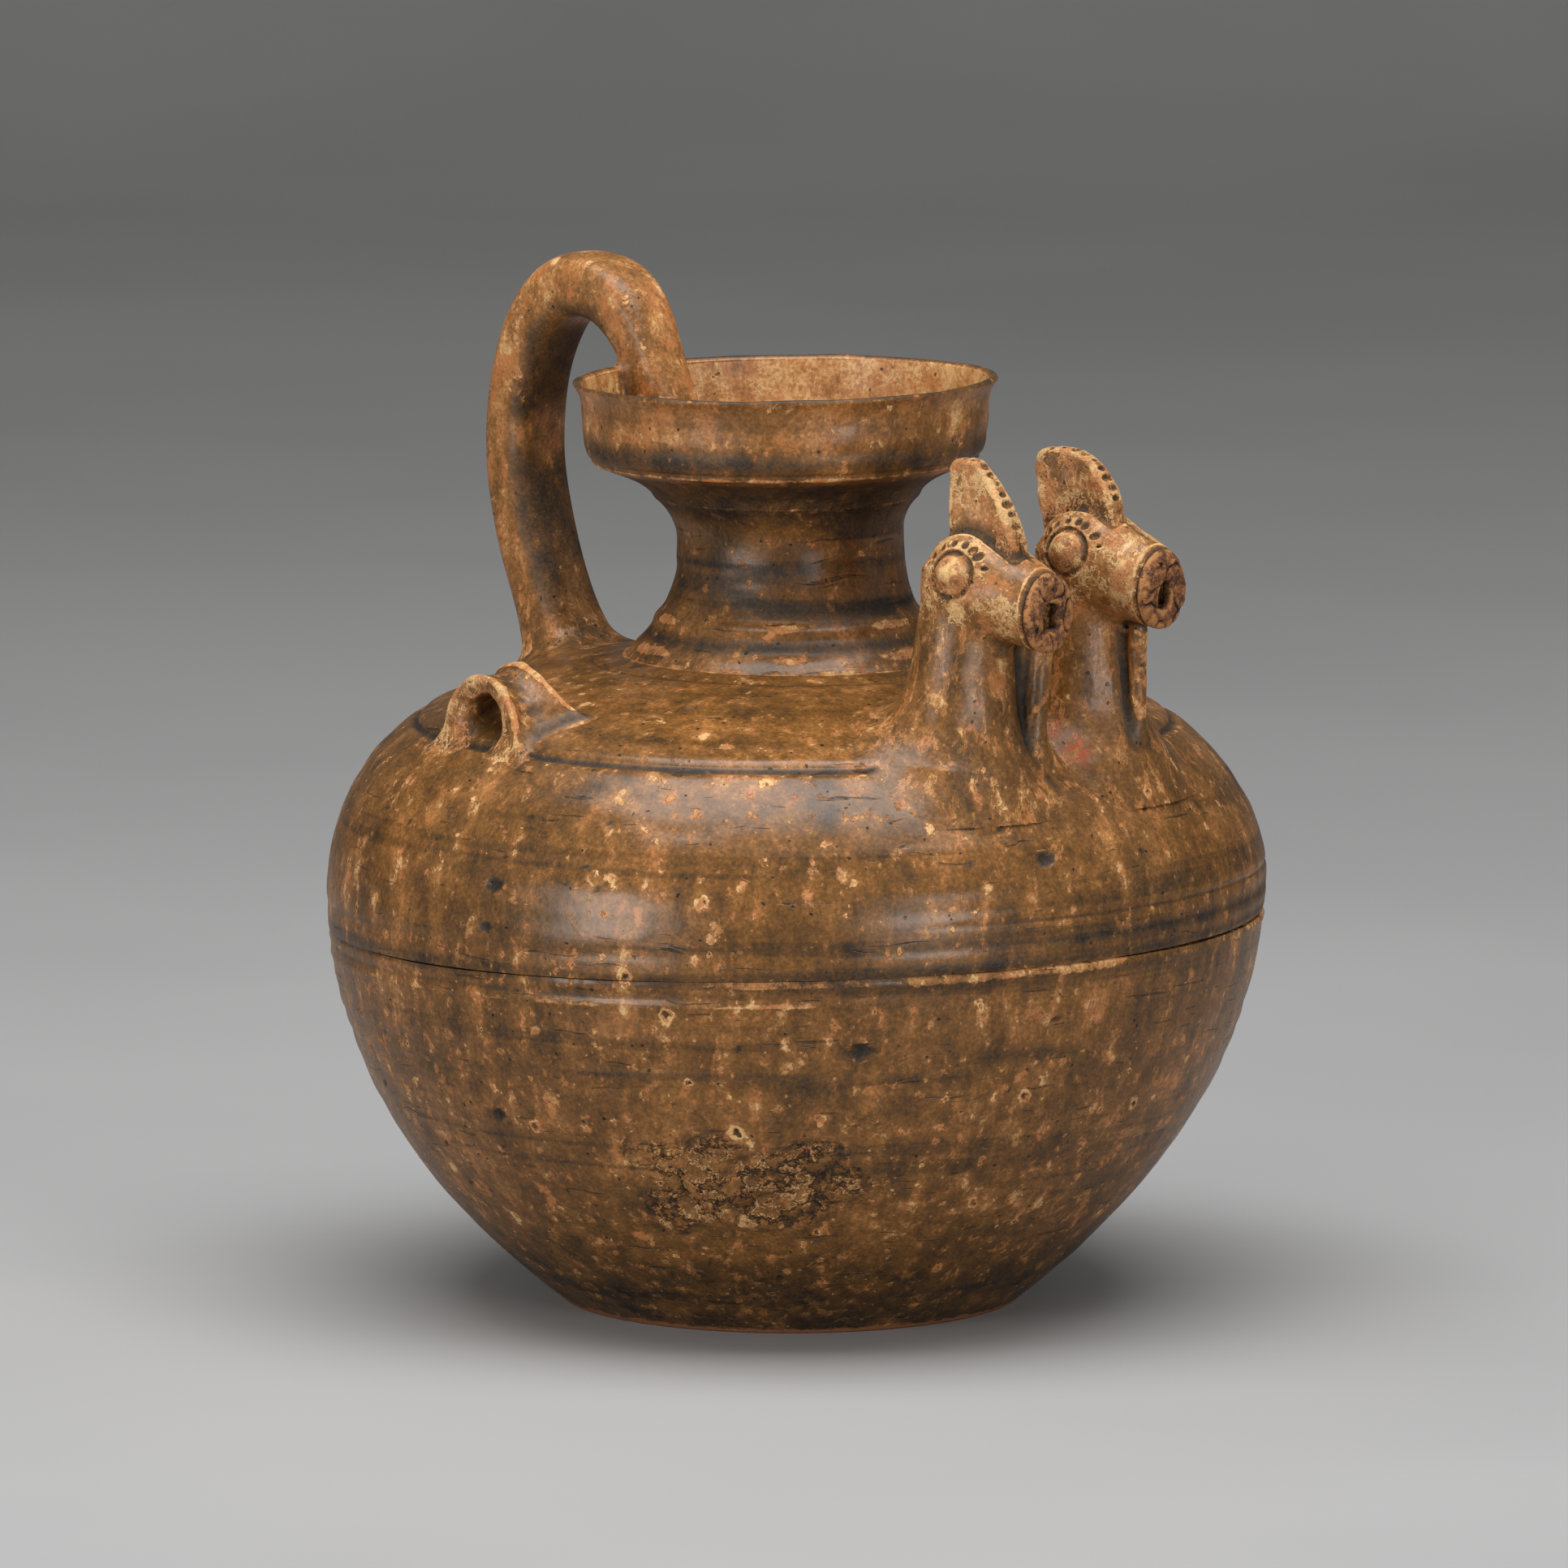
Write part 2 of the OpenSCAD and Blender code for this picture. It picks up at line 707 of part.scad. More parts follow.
lower_body();
upper_body();
neck();
dish_mouth();
handle();
lug(left);  // lug_left
lug(right);  // lug_right
spout_neck(left);  // spout_neck_left
spout_neck(right);  // spout_neck_right
head(left);  // head_left
head(right);  // head_right
beak_collar(left);  // beak_collar_left
beak_collar(right);  // beak_collar_right
comb(left);  // comb_left
comb(right);  // comb_right
eye(left, outer);  // eye_left_outer
eye(left, inner);  // eye_left_inner
eye(right, outer);  // eye_right_outer
eye(right, inner);  // eye_right_inner
throat_roll(left);  // throat_roll_left
throat_roll(right);  // throat_roll_right
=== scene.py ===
"""Looks of the chicken head ewer: a brown-glazed stoneware jar with two chicken-head spouts.

Shapes are worked out in millimetres in the frame of the solids (base centre at the origin, +Z up, +X to the
spouts) and turned into metres when a mesh is made. Turned pieces are lathe grids with the potter's rings in
them. Luted pieces are level sets that run into each other with soft fillets, cut apart where the solids are.
"""

import math

import bpy
import numpy as np
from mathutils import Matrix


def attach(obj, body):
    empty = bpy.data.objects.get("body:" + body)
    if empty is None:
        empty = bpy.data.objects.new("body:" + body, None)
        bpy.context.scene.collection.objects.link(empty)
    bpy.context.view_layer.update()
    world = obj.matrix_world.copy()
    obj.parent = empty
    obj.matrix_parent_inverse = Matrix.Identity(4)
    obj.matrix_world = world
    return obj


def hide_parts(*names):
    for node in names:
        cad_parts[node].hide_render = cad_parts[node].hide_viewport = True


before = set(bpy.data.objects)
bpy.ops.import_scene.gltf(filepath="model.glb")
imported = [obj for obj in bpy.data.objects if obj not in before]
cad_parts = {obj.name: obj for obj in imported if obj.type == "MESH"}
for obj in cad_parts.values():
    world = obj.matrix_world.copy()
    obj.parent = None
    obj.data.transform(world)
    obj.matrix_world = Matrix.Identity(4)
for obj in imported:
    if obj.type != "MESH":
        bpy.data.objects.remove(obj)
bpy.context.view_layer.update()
MM = 0.001

# Jar, as the solids have it, but for a softer step at the seam
BASE_R = 46.5
BELLY_R = 95.0
BELLY_Z = 85.0
FOOT_ANGLE, FOOT_PULL = 44.0, 4.0
LOWER_PULL, UPPER_PULL = 51.0, 18.0
SEAM_Z, SEAM_STEP, SECOND_SEAM_Z = 78.0, 0.35, 73.0
WALL, FLOOR_T = 5.5, 8.0
GROOVE_R, GROOVE_Z, GROOVE_SLOPE = 77.0, 117.8, 31.0
SEAT_R, SEAT_Z, SEAT_SLOPE = 33.5, 131.0, 9.0

# Neck and dish mouth
WAIST_R, WAIST_H = 22.8, 22.0
NECK_TOP_R, NECK_H, NECK_WALL = 26.7, 32.0, 5.0
LEDGE_R, LEDGE_H = 39.5, 7.6
RIM_R, MOUTH_H = 42.9, 24.0
MOUTH_WALL, LIP_T = 4.4, 2.0
NECK_TOP_Z = SEAT_Z + NECK_H
LEDGE_Z = NECK_TOP_Z + LEDGE_H
RIM_Z = NECK_TOP_Z + MOUTH_H

# Handle
HANDLE_T, HANDLE_W = 13.0, 15.5
HANDLE_FOOT_R, HANDLE_LEAN, HANDLE_FLARE = 63.5, 64.0, 0.45
HANDLE_REACH, HANDLE_REACH_H = 77.0, 36.0
HANDLE_TOP_R, HANDLE_RISE = 56.5, 15.0
TIP_LEAN, TIP_DROP, TIP_IN, HANDLE_SLIM, HANDLE_POWER = 118.0, 12.0, 9.6, 0.25, 3.3

# Lugs, which tilt less than the solids' do
LUG_ANGLE, LUG_LEN, LUG_W, LUG_H = 100.0, 15.0, 25.0, 14.5
LUG_EYE_W, LUG_EYE_H, LUG_EYE_FLARE = 12.0, 10.0, 1.3
LUG_DIP, LUG_INSET, LUG_TILT = 1.4, 0.5, 3.0
LUG_PINCH, LUG_SPLAY, LUG_LIFT, LUG_FOOT = 2.2, 3.2, 2.8, 1.8

# Birds, whose combs and throat rolls differ a little from the solids'
LEFT, RIGHT = 1, -1
PAIR_TURN, BIRD_YAW = -3.0, 11.0
SPOUT_X, FOOT_GAP, SPOUT_R, SPOUT_SLIM = 66.8, 34.5, 10.9, 2.2
SPOUT_FLARE, SPOUT_FALL, SPOUT_SKIRT, SPOUT_FILLET = 2.6, 8.0, 4.0, 9.0
HEAD_X, HEAD_GAP, HEAD_SHIFT, HEAD_H, LEFT_LIFT = 69.3, 30.8, 0.8, 32.6, 2.0
HEAD_R, HEAD_FORE, BEAK_REACH, BEAK_DROP, BEAK_R, BEAK_TILT = 10.0, 1.5, 20.0, 6.8, 7.4, 3.0
COLLAR_LEN, POUR_R = 2.4, 2.4
COMB_LEN, COMB_BACK, COMB_H, COMB_LEAN = 16.4, 3.9, 23.4, 0.2
COMB_CROWN = {LEFT: 8.0, RIGHT: 5.8}
LEFT_COMB_SHIFT, LEFT_COMB_DROP, LEFT_COMB_LONGER, LEFT_COMB_LEAN = 4.8, 2.8, 0.8, 1.8
COMB_T, COMB_TIP_T = 5.8, 4.0
EYE_R, EYE_OUT, EYE_YAW, EYE_PITCH, EYE_RING = 4.0, 1.7, 3.0, 8.0, 6.3
ROLL_R, ROLL_OUT = {LEFT: 1.8, RIGHT: 2.2}, {LEFT: 13.3, RIGHT: 15.0}
ROLL_LEN, ROLL_H, RIGHT_ROLL_TURN = 26.0, -4.0, 36.0
SIDE_NAME = {LEFT: "left", RIGHT: "right"}

# Camera, fitted to the photograph
CAMERA_AZIMUTH, CAMERA_PITCH = 45.0, 8.287
CAMERA_AWAY, CAMERA_HEIGHT, CAMERA_ASIDE = 2529.9, 472.65, -1.3
CAMERA_LENS, CAMERA_SENSOR = 290.24, 36.0


# Small maths

def polar(length, degrees):
    return length * np.array([math.cos(math.radians(degrees)), math.sin(math.radians(degrees))])


def curve(a, b, c, d, count):
    """A cubic curve from a to d with the handles b and c."""
    t = np.linspace(0, 1, count)[:, None]
    a, b, c, d = (np.asarray(v, float) for v in (a, b, c, d))
    return (1 - t) ** 3 * a + 3 * (1 - t) ** 2 * t * b + 3 * (1 - t) * t * t * c + t ** 3 * d


def soft_min(a, b, k):
    """The smaller of two fields, with a fillet about k wide where they meet."""
    h = np.maximum(k - np.abs(a - b), 0) / k
    return np.minimum(a, b) - h * h * k / 4


def soft_max(a, b, k):
    return -soft_min(-a, -b, k)


def bell(x, width):
    return np.exp(-(x / width) ** 2)


def step(lo, hi, x):
    t = np.clip((x - lo) / (hi - lo), 0, 1)
    return t * t * (3 - 2 * t)


def length(v):
    return np.sqrt((v * v).sum(-1))


def lattice(i, j, k, seed):
    """A fixed random number from -1 to 1 for each whole-numbered place."""
    n = (i * 374761393 + j * 668265263 + k * 362437 + seed * 974711) & 0xFFFFFFFF
    n = ((n ^ (n >> 13)) * 1274126177) & 0xFFFFFFFF
    return ((n ^ (n >> 16)) & 0xFFFF) / 32767.5 - 1


def noise(p, size, seed=0):
    """Smooth noise from -1 to 1 with lumps about size across."""
    q = p / size
    cell = np.floor(q).astype(np.int64)
    f = q - cell
    f = f * f * (3 - 2 * f)
    total = 0
    for corner in np.ndindex(2, 2, 2):
        weight = 1
        for axis in range(3):
            weight = weight * (f[..., axis] if corner[axis] else 1 - f[..., axis])
        i, j, k = (cell[..., axis] + corner[axis] for axis in range(3))
        total = total + weight * lattice(i, j, k, seed)
    return total


def rough(p, size, seed=0, octaves=3):
    return sum(noise(p, size / 2 ** o, seed + o) / 2 ** o for o in range(octaves))


def resample(points, count):
    """The same line with points at equal steps."""
    s = np.r_[0, np.cumsum(length(np.diff(points, axis=0)))]
    at = np.linspace(0, s[-1], count)
    return np.stack([np.interp(at, s, points[:, axis]) for axis in range(points.shape[1])], -1)


def polygon_field(points, x, y):
    """Signed distance to a closed outline, negative inside."""
    best = np.full(np.shape(x), 1e9)
    inside = np.zeros(np.shape(x), bool)
    for a, b in zip(points, np.roll(points, -1, 0)):
        e = b - a
        wx, wy = x - a[0], y - a[1]
        t = np.clip((wx * e[0] + wy * e[1]) / (e @ e + 1e-12), 0, 1)
        best = np.minimum(best, (wx - e[0] * t) ** 2 + (wy - e[1] * t) ** 2)
        if a[1] != b[1]:
            crosses = ((a[1] <= y) != (b[1] <= y)) & (x < a[0] + (y - a[1]) / e[1] * e[0])
            inside ^= crosses
    return np.where(inside, -1, 1) * np.sqrt(best)


# Outline of the jar and the bumps on it

def jar_outline(depth):
    """[radius, height] from the base to the neck's seat, moved into the clay by depth."""
    foot = np.array([BASE_R, 0]) + polar(depth, FOOT_ANGLE + 90)
    belly = np.array([BELLY_R - depth, BELLY_Z])
    groove = np.array([GROOVE_R, GROOVE_Z]) + polar(depth, 270 - GROOVE_SLOPE)
    seat = np.array([SEAT_R, SEAT_Z]) + polar(depth, 270 - SEAT_SLOPE)
    span = GROOVE_R - SEAT_R
    lower = curve(foot, foot + polar(FOOT_PULL, FOOT_ANGLE), belly - [0, LOWER_PULL], belly, 160)
    upper = curve(belly, belly + [0, UPPER_PULL], groove + polar(UPPER_PULL / 3, -GROOVE_SLOPE), groove, 120)
    leave = groove + polar(0.345 * span, 180 - GROOVE_SLOPE)
    arrive = seat + polar(0.3 * span, -SEAT_SLOPE)
    top = curve(groove, leave, arrive, seat, 120)
    return np.vstack([lower, upper[1:], top[1:]])


JAR_OUT = jar_outline(0)
JAR_IN = jar_outline(WALL)
SHOULDER = JAR_OUT[JAR_OUT[:, 1] >= BELLY_Z][::-1]
SHOULDER_RISE = np.gradient(SHOULDER[:, 1], SHOULDER[:, 0])


def below(outline, z):
    keep = outline[outline[:, 1] < z]
    return np.vstack([keep, [np.interp(z, outline[:, 1], outline[:, 0]), z]])


def above(outline, z):
    keep = outline[outline[:, 1] > z]
    return np.vstack([[np.interp(z, outline[:, 1], outline[:, 0]), z], keep])


def round_points(theta, r, z):
    return np.stack([r * np.cos(theta), r * np.sin(theta), z], -1)


# Chips and flakes that the photograph shows, then small pits at random: angle round the jar, height, radius
# and depth, where a negative depth stands out
CHIPS = [
    (-37.0, 63.9, 2.6, 0.9), (-84.6, 94.7, 2.0, 0.6), (-85.2, 86.6, 1.7, 0.5), (-19.5, 107.8, 2.4, -0.6),
    (-12.9, 100.3, 2.2, 0.7), (-66.9, 126.8, 1.9, -0.5), (-87.2, 47.6, 1.8, 0.8),
]
CHIP_GIRTH_R, CHIP_SQUAT, SHOULDER_CHIP_SQUAT = 88.0, 1.5, 4.5
chance = np.random.default_rng(7)
for _ in range(70):
    CHIPS.append(tuple(chance.uniform(*span) for span in ((-180, 180), (14, 112), (0.5, 1.1), (0.2, 0.45))))

# The rough patch low on the front, and the lines pressed round the jar: height or radius, width and depth
SCAR_AT, SCAR_Z, SCAR_HALF, SCAR_TALL = -51.0, 35.5, 16.0, 9.5
LOW_LINES = ((60.5, 1.5, 0.28), (56.0, 1.2, 0.2))
SHOULDER_RINGS = ((40.5, 0.7, 0.25), (47.0, 1.0, 0.15))
HIGH_LINE_Z, BELLY_LINE_Z = 88.0, 83.0


def rings(theta, z):
    """Marks of the potter's fingers: fine level rings, stronger here and there."""
    place = round_points(theta, 40, 2.2 * z)
    tall = round_points(theta, 12, 3.2 * z)
    return 0.16 * noise(tall, 11, 3) + 0.07 * noise(place, 5, 5)


def wobble(theta, r, z):
    p = round_points(theta, r, z)
    return 0.35 * noise(p, 42, 11) + 0.1 * noise(p, 15, 12)


def turn_from(theta, degrees):
    """How far round the jar a place is from an angle, from -180 to 180 degrees."""
    return (np.degrees(theta) - degrees + 180) % 360 - 180


def scar_field(theta, z):
    """1 in the rough patch low on the front, with a ragged edge."""
    turn = turn_from(theta, SCAR_AT)
    ragged = 0.45 * rough(round_points(theta, 80, z), 9, 21)
    return step(1.15, 0.75, np.hypot(turn / SCAR_HALF, (z - SCAR_Z) / SCAR_TALL) + ragged)


def chip_field(theta, z):
    """How deep the chips and pits are at a place, in mm."""
    deep = 0 * z
    for at, height, radius, depth in CHIPS:
        squat = CHIP_SQUAT if height < GROOVE_Z else SHOULDER_CHIP_SQUAT
        across = np.hypot(np.radians(turn_from(theta, at)) * CHIP_GIRTH_R, (z - height) * squat)
        near = across < 3 * radius
        if np.any(near):
            ragged = 1 + 0.35 * noise(round_points(theta[near], CHIP_GIRTH_R, z[near]), 2.0, 31)
            deep[near] += depth * step(1.2, 0.5, across[near] / radius * ragged)
    return deep


def arc(theta, start, end, soft=8):
    """1 between two angles round the jar."""
    turn = np.degrees(theta)
    return step(start - soft, start + soft, turn) * step(end + soft, end - soft, turn)


def seam_share(theta):
    """How proud the edge at the seam is round the jar, from 0 to 1."""
    around = round_points(theta, BELLY_R, SEAM_Z + 0 * theta)
    return step(-0.55, 0.45, noise(around, 34, 45) + 0.5 * noise(around, 9, 46))


def seam_gap(theta):
    """How far the seam stands open round the jar, from 0 to 1: most at the right of the photograph."""
    return 0.3 + 0.7 * arc(theta, -30, 70, 14)


def body_bump(theta, r, z):
    """How far the lower body stands out of its outline."""
    b = rings(theta, z) * step(2, 10, z) + wobble(theta, r, z) * step(0, 18, z)
    b += 0.42 * seam_share(theta) * bell(z - SEAM_Z + 1.4, 0.8)
    b -= 0.4 * seam_gap(theta) * bell(z - SEAM_Z, 0.45)
    b += 0.25 * bell(z - SECOND_SEAM_Z, 0.7) * arc(theta, -135, -35)
    b -= sum(depth * bell(z - height, width) for height, width, depth in LOW_LINES)
    scar = scar_field(theta, z)
    p = round_points(theta, r, z)
    b += scar * (0.25 + 0.75 * rough(p, 5.5, 41) - 0.9 * bell(noise(p, 7, 43), 0.16))
    return b - chip_field(theta, z)


def shoulder_lines(theta, r, z):
    """Depth of the lines cut or pressed into the upper body."""
    lines = 0.4 * seam_gap(theta) * bell(z - SEAM_Z, 0.5)
    lines += 0.3 * bell(z - HIGH_LINE_Z, 0.6) * arc(theta, -25, 60) + 0.15 * bell(z - BELLY_LINE_Z, 1.2)
    lines += 0.85 * bell(z - GROOVE_Z - 0.15, 0.6) - 0.2 * bell(z - GROOVE_Z - 1.6, 0.8)
    lines += sum(depth * bell(r - radius, width) for radius, width, depth in SHOULDER_RINGS)
    return (lines + chip_field(theta, z)) * step(SEAT_R - 1, SEAT_R + 3, r)


def shoulder_bump(theta, r, z):
    """How far the upper body stands out of its outline."""
    thrown = rings(theta, z) + wobble(theta, r, z)
    return thrown * step(SEAT_R - 1, SEAT_R + 3, r) - shoulder_lines(theta, r, z)


def jar(p, near=None):
    """Signed distance to the shoulder and belly top, bumps included.

    Where near, from 0 to 1, is given, clay smeared over the jar fills its lines by that share."""
    r = np.hypot(p[..., 0], p[..., 1])
    top = np.interp(r, SHOULDER[:, 0], SHOULDER[:, 1])
    slope = np.interp(r, SHOULDER[:, 0], SHOULDER_RISE)
    theta = np.arctan2(p[..., 1], p[..., 0])
    field = (p[..., 2] - top) / np.sqrt(1 + np.minimum(slope ** 2, 9)) - shoulder_bump(theta, r, top)
    if near is not None:
        field = field - near * shoulder_lines(theta, r, top)
    return field


def shoulder_z(r):
    return float(np.interp(r, SHOULDER[:, 0], SHOULDER[:, 1]))


# The pot is a little out of true: the seam dips, the belly leans right and the mouth left, the rim tilts
BELLY_LEAN, MOUTH_LEAN, RIM_TILT = 1.3, -1.1, 0.65
SEAM_DIP, SEAM_DIP_AT, SEAM_DIP_MEAN = 2.3, 15.0, 0.2


def out_of_true(p):
    right = polar(1, CAMERA_AZIMUTH)
    theta = np.arctan2(p[:, 1], p[:, 0])
    z = p[:, 2]
    dip = (SEAM_DIP * np.cos(theta - math.radians(SEAM_DIP_AT)) - SEAM_DIP_MEAN) * bell(z - SEAM_Z, 17)
    mouth = step(150, 172, z) * step(75, 50, np.hypot(p[:, 0], p[:, 1]))
    lean = BELLY_LEAN * bell(z - BELLY_Z, 38) + MOUTH_LEAN * mouth
    q = p.copy()
    q[:, :2] += lean[:, None] * right
    q[:, 2] += dip + mouth * RIM_TILT * (p[:, :2] @ right) / RIM_R
    return q


# Meshes

SHARP_EDGE, INSIDE_RINGS = 55.0, 0.6


def make_piece(node, slot, points, faces, values, material):
    """A mesh in metres that stands for one solid, with a number per point for each named value."""
    mesh = bpy.data.meshes.new(node + "_look")
    points = out_of_true(points) * MM
    loops = np.concatenate([f.ravel() for f in faces])
    sizes = np.concatenate([np.full(len(f), f.shape[1]) for f in faces])
    mesh.vertices.add(len(points))
    mesh.vertices.foreach_set("co", points.astype(np.float32).ravel())
    mesh.loops.add(len(loops))
    mesh.loops.foreach_set("vertex_index", loops.astype(np.int32))
    mesh.polygons.add(len(sizes))
    mesh.polygons.foreach_set("loop_start", np.r_[0, np.cumsum(sizes)[:-1]].astype(np.int32))
    mesh.polygons.foreach_set("use_smooth", np.ones(len(sizes), bool))
    mesh.update(calc_edges=True)
    mesh.validate()
    mesh.set_sharp_from_angle(angle=math.radians(SHARP_EDGE))
    for name, number in values.items():
        layer = mesh.attributes.new(name, "FLOAT", "POINT")
        layer.data.foreach_set("value", np.asarray(number, np.float32))
    mesh.materials.append(material)
    piece = bpy.data.objects.new(node + "_look", mesh)
    bpy.context.scene.collection.objects.link(piece)
    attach(piece, "root")
    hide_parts(node)


def lathe(outside, inside, columns, bump):
    """A turned piece. The two outlines run upwards, and bump moves the outside along its normal.

    Returns points, faces, how proud each point stands of its neighbours, and the radius and height that it
    came from."""
    rows = np.vstack([outside, inside[::-1]])
    ahead, behind = np.roll(rows, -1, 0), np.roll(rows, 1, 0)
    pole = outside[0, 0] < 1e-6
    n_out = len(outside)
    if pole:
        behind[0], ahead[-1] = rows[0], rows[-1]
    else:
        behind[0], behind[n_out] = rows[0], rows[n_out]
        ahead[n_out - 1], ahead[-1] = rows[n_out - 1], rows[-1]
    along = ahead - behind
    normal = np.stack([along[:, 1], -along[:, 0]], -1) / (length(along)[:, None] + 1e-9)
    theta = np.linspace(-math.pi, math.pi, columns, endpoint=False)
    T, R = np.meshgrid(theta, rows[:, 0])
    Z = np.repeat(rows[:, 1][:, None], columns, 1)
    b = np.zeros_like(R)
    b[:n_out] = bump(T[:n_out], R[:n_out], Z[:n_out])
    b[n_out:] = INSIDE_RINGS * rings(T[n_out:], Z[n_out:]) * step(0, 4, R[n_out:])
    if pole:
        b[0], b[-1] = 0, 0
    r = R + normal[:, 0][:, None] * b
    z = Z + normal[:, 1][:, None] * b
    grid = round_points(T, r, z)
    out = round_points(T, *(np.repeat(part[:, None], columns, 1) for part in normal.T))
    steps = (1, 2, 3, -1, -2, -3)
    around = sum(np.roll(grid, s, axis) for s in steps for axis in (0, 1)) / (2 * len(steps))
    proud = ((grid - around) * out).sum(-1)
    index = np.arange(grid.shape[0] * columns).reshape(grid.shape[0], columns)
    nxt = np.roll(index, -1, 1)
    last = len(rows) - 1 if pole else len(rows)
    quads = np.stack([index[:last], nxt[:last], np.roll(nxt, -1, 0)[:last], np.roll(index, -1, 0)[:last]], -1)
    points = grid.reshape(-1, 3)
    faces = [quads.reshape(-1, 4)]
    if pole:
        faces = close_poles(quads, columns, len(rows))
    return points, faces, proud.ravel(), R.ravel(), Z.ravel()


def close_poles(quads, columns, rows):
    """Ends a lathe on the axis with fans of triangles round its first and last point."""
    middle = quads[1:rows - 2].reshape(-1, 4)
    first = quads[0]
    final = quads[rows - 2]
    fan_low = np.stack([np.full(columns, first[0, 0]), first[:, 2], first[:, 3]], -1)
    fan_high = np.stack([final[:, 0], final[:, 1], np.full(columns, final[0, 3])], -1)
    return [middle, fan_low, fan_high]


def tidy(points, faces, *values):
    """Drops points that no face uses."""
    used = np.unique(np.concatenate([f.ravel() for f in faces]))
    place = np.full(len(points), -1)
    place[used] = np.arange(len(used))
    return points[used], [place[f] for f in faces], *(v[used] for v in values)


# Level sets

def net(values, lo, size):
    """The zero surface of a field on a grid: a point per crossed cell and a face per crossed edge."""
    inside = values < 0
    shape = np.array(values.shape) - 1
    corner_sum = np.zeros(shape, int)
    for c in np.ndindex(2, 2, 2):
        corner_sum += inside[c[0]:c[0] + shape[0], c[1]:c[1] + shape[1], c[2]:c[2] + shape[2]]
    active = (corner_sum > 0) & (corner_sum < 8)
    cells = np.argwhere(active)
    number = np.full(shape, -1)
    number[active] = np.arange(len(cells))
    total = np.zeros((len(cells), 3))
    count = np.zeros(len(cells))
    for axis in range(3):
        others = [a for a in range(3) if a != axis]
        for pair in np.ndindex(2, 2):
            start = cells.copy()
            start[:, others[0]] += pair[0]
            start[:, others[1]] += pair[1]
            end = start.copy()
            end[:, axis] += 1
            a, b = values[tuple(start.T)], values[tuple(end.T)]
            hit = (a < 0) != (b < 0)
            t = np.where(hit, a / np.where(hit, a - b, 1), 0)
            place = start.astype(float)
            place[:, axis] += t
            total[hit] += place[hit]
            count += hit
    points = lo + total / count[:, None] * size
    quads = []
    for axis in range(3):
        u, v = (axis + 1) % 3, (axis + 2) % 3
        lower = [slice(0, n) for n in values.shape]
        upper = [slice(0, n) for n in values.shape]
        lower[axis], upper[axis] = slice(0, -1), slice(1, None)
        flip = inside[tuple(lower)] != inside[tuple(upper)]
        edge = np.argwhere(flip)
        edge = edge[(edge[:, u] > 0) & (edge[:, v] > 0) & (edge[:, u] < shape[u]) & (edge[:, v] < shape[v])]
        ring = []
        for du, dv in ((1, 1), (0, 1), (0, 0), (1, 0)):
            cell = edge.copy()
            cell[:, u] -= du
            cell[:, v] -= dv
            ring.append(number[tuple(cell.T)])
        ring = np.stack(ring, -1)
        starts_in = inside[tuple(edge.T)]
        ring[~starts_in] = ring[~starts_in][:, ::-1]
        quads.append(ring)
    return points, np.concatenate(quads)


def settle(points, field, size):
    """Moves net points on to the skin, and those on an edge on to the skin and the cut together."""
    p = points.copy()
    h = 0.02
    for _ in range(2):
        skin, cut = field(p)
        slopes = []
        for axis in range(3):
            q = p.copy()
            q[:, axis] += h
            s, c = field(q)
            slopes.append(((s - skin) / h, (c - cut) / h))
        gs = np.stack([s for s, _ in slopes], -1)
        gc = np.stack([c for _, c in slopes], -1)
        ss, cc, sc = (gs * gs).sum(-1) + 1e-9, (gc * gc).sum(-1) + 1e-9, (gs * gc).sum(-1)
        both = (np.abs(skin) < size) & (np.abs(cut) < size) & (ss * cc - sc * sc > 0.05 * ss * cc)
        det = np.where(both, ss * cc - sc * sc, 1)
        la, lb = (skin * cc - cut * sc) / det, (cut * ss - skin * sc) / det
        pair = la[:, None] * gs + lb[:, None] * gc
        one = np.where((skin > cut)[:, None], (skin / ss)[:, None] * gs, (cut / cc)[:, None] * gc)
        move = np.where(both[:, None], pair, one)
        far = np.maximum(length(move) / (0.7 * size), 1)
        p -= move / far[:, None]
    return p


def mesh_field(field, lo, hi, size):
    """Points and faces of the solid where both the skin and the cut are negative.

    Blocks of cells that the surface can't reach take one value for all their corners."""
    block = 4
    lo = np.asarray(lo, float) - 2 * size
    blocks = np.ceil((np.asarray(hi, float) + 2 * size - lo) / (block * size)).astype(int)
    middles = [lo[a] + (np.arange(blocks[a]) + 0.5) * block * size for a in range(3)]
    p = np.stack(np.meshgrid(*middles, indexing="ij"), -1)
    coarse = np.maximum(*field(p.reshape(-1, 3))).reshape(blocks)
    reach = 1.25 * block * size * math.sqrt(3) / 2 + 0.8
    near = np.abs(coarse) < reach
    values, wanted = coarse, near
    for axis in range(3):
        values, wanted = (np.repeat(v, block, axis) for v in (values, wanted))
    values, wanted = np.pad(values, (0, 1), mode="edge"), np.pad(wanted, (0, 1), mode="edge")
    for axis in range(3):
        lower, upper = [slice(None)] * 3, [slice(None)] * 3
        lower[axis], upper[axis] = slice(0, -1), slice(1, None)
        spread = wanted.copy()
        spread[tuple(upper)] |= wanted[tuple(lower)]
        wanted = spread
    places = np.argwhere(wanted)
    values = values.copy()
    values[wanted] = np.maximum(*field(lo + places * size))
    points, quads = net(values, lo, size)
    return settle(points, field, size), [quads]


def curl(points, field, reach=0.9):
    """How sharply the skin bends outwards at each point, per mm."""
    total = -6 * field(points)[0]
    for axis in range(3):
        for way in (-reach, reach):
            q = points.copy()
            q[:, axis] += way
            total += field(q)[0]
    return total / reach ** 2


# Materials

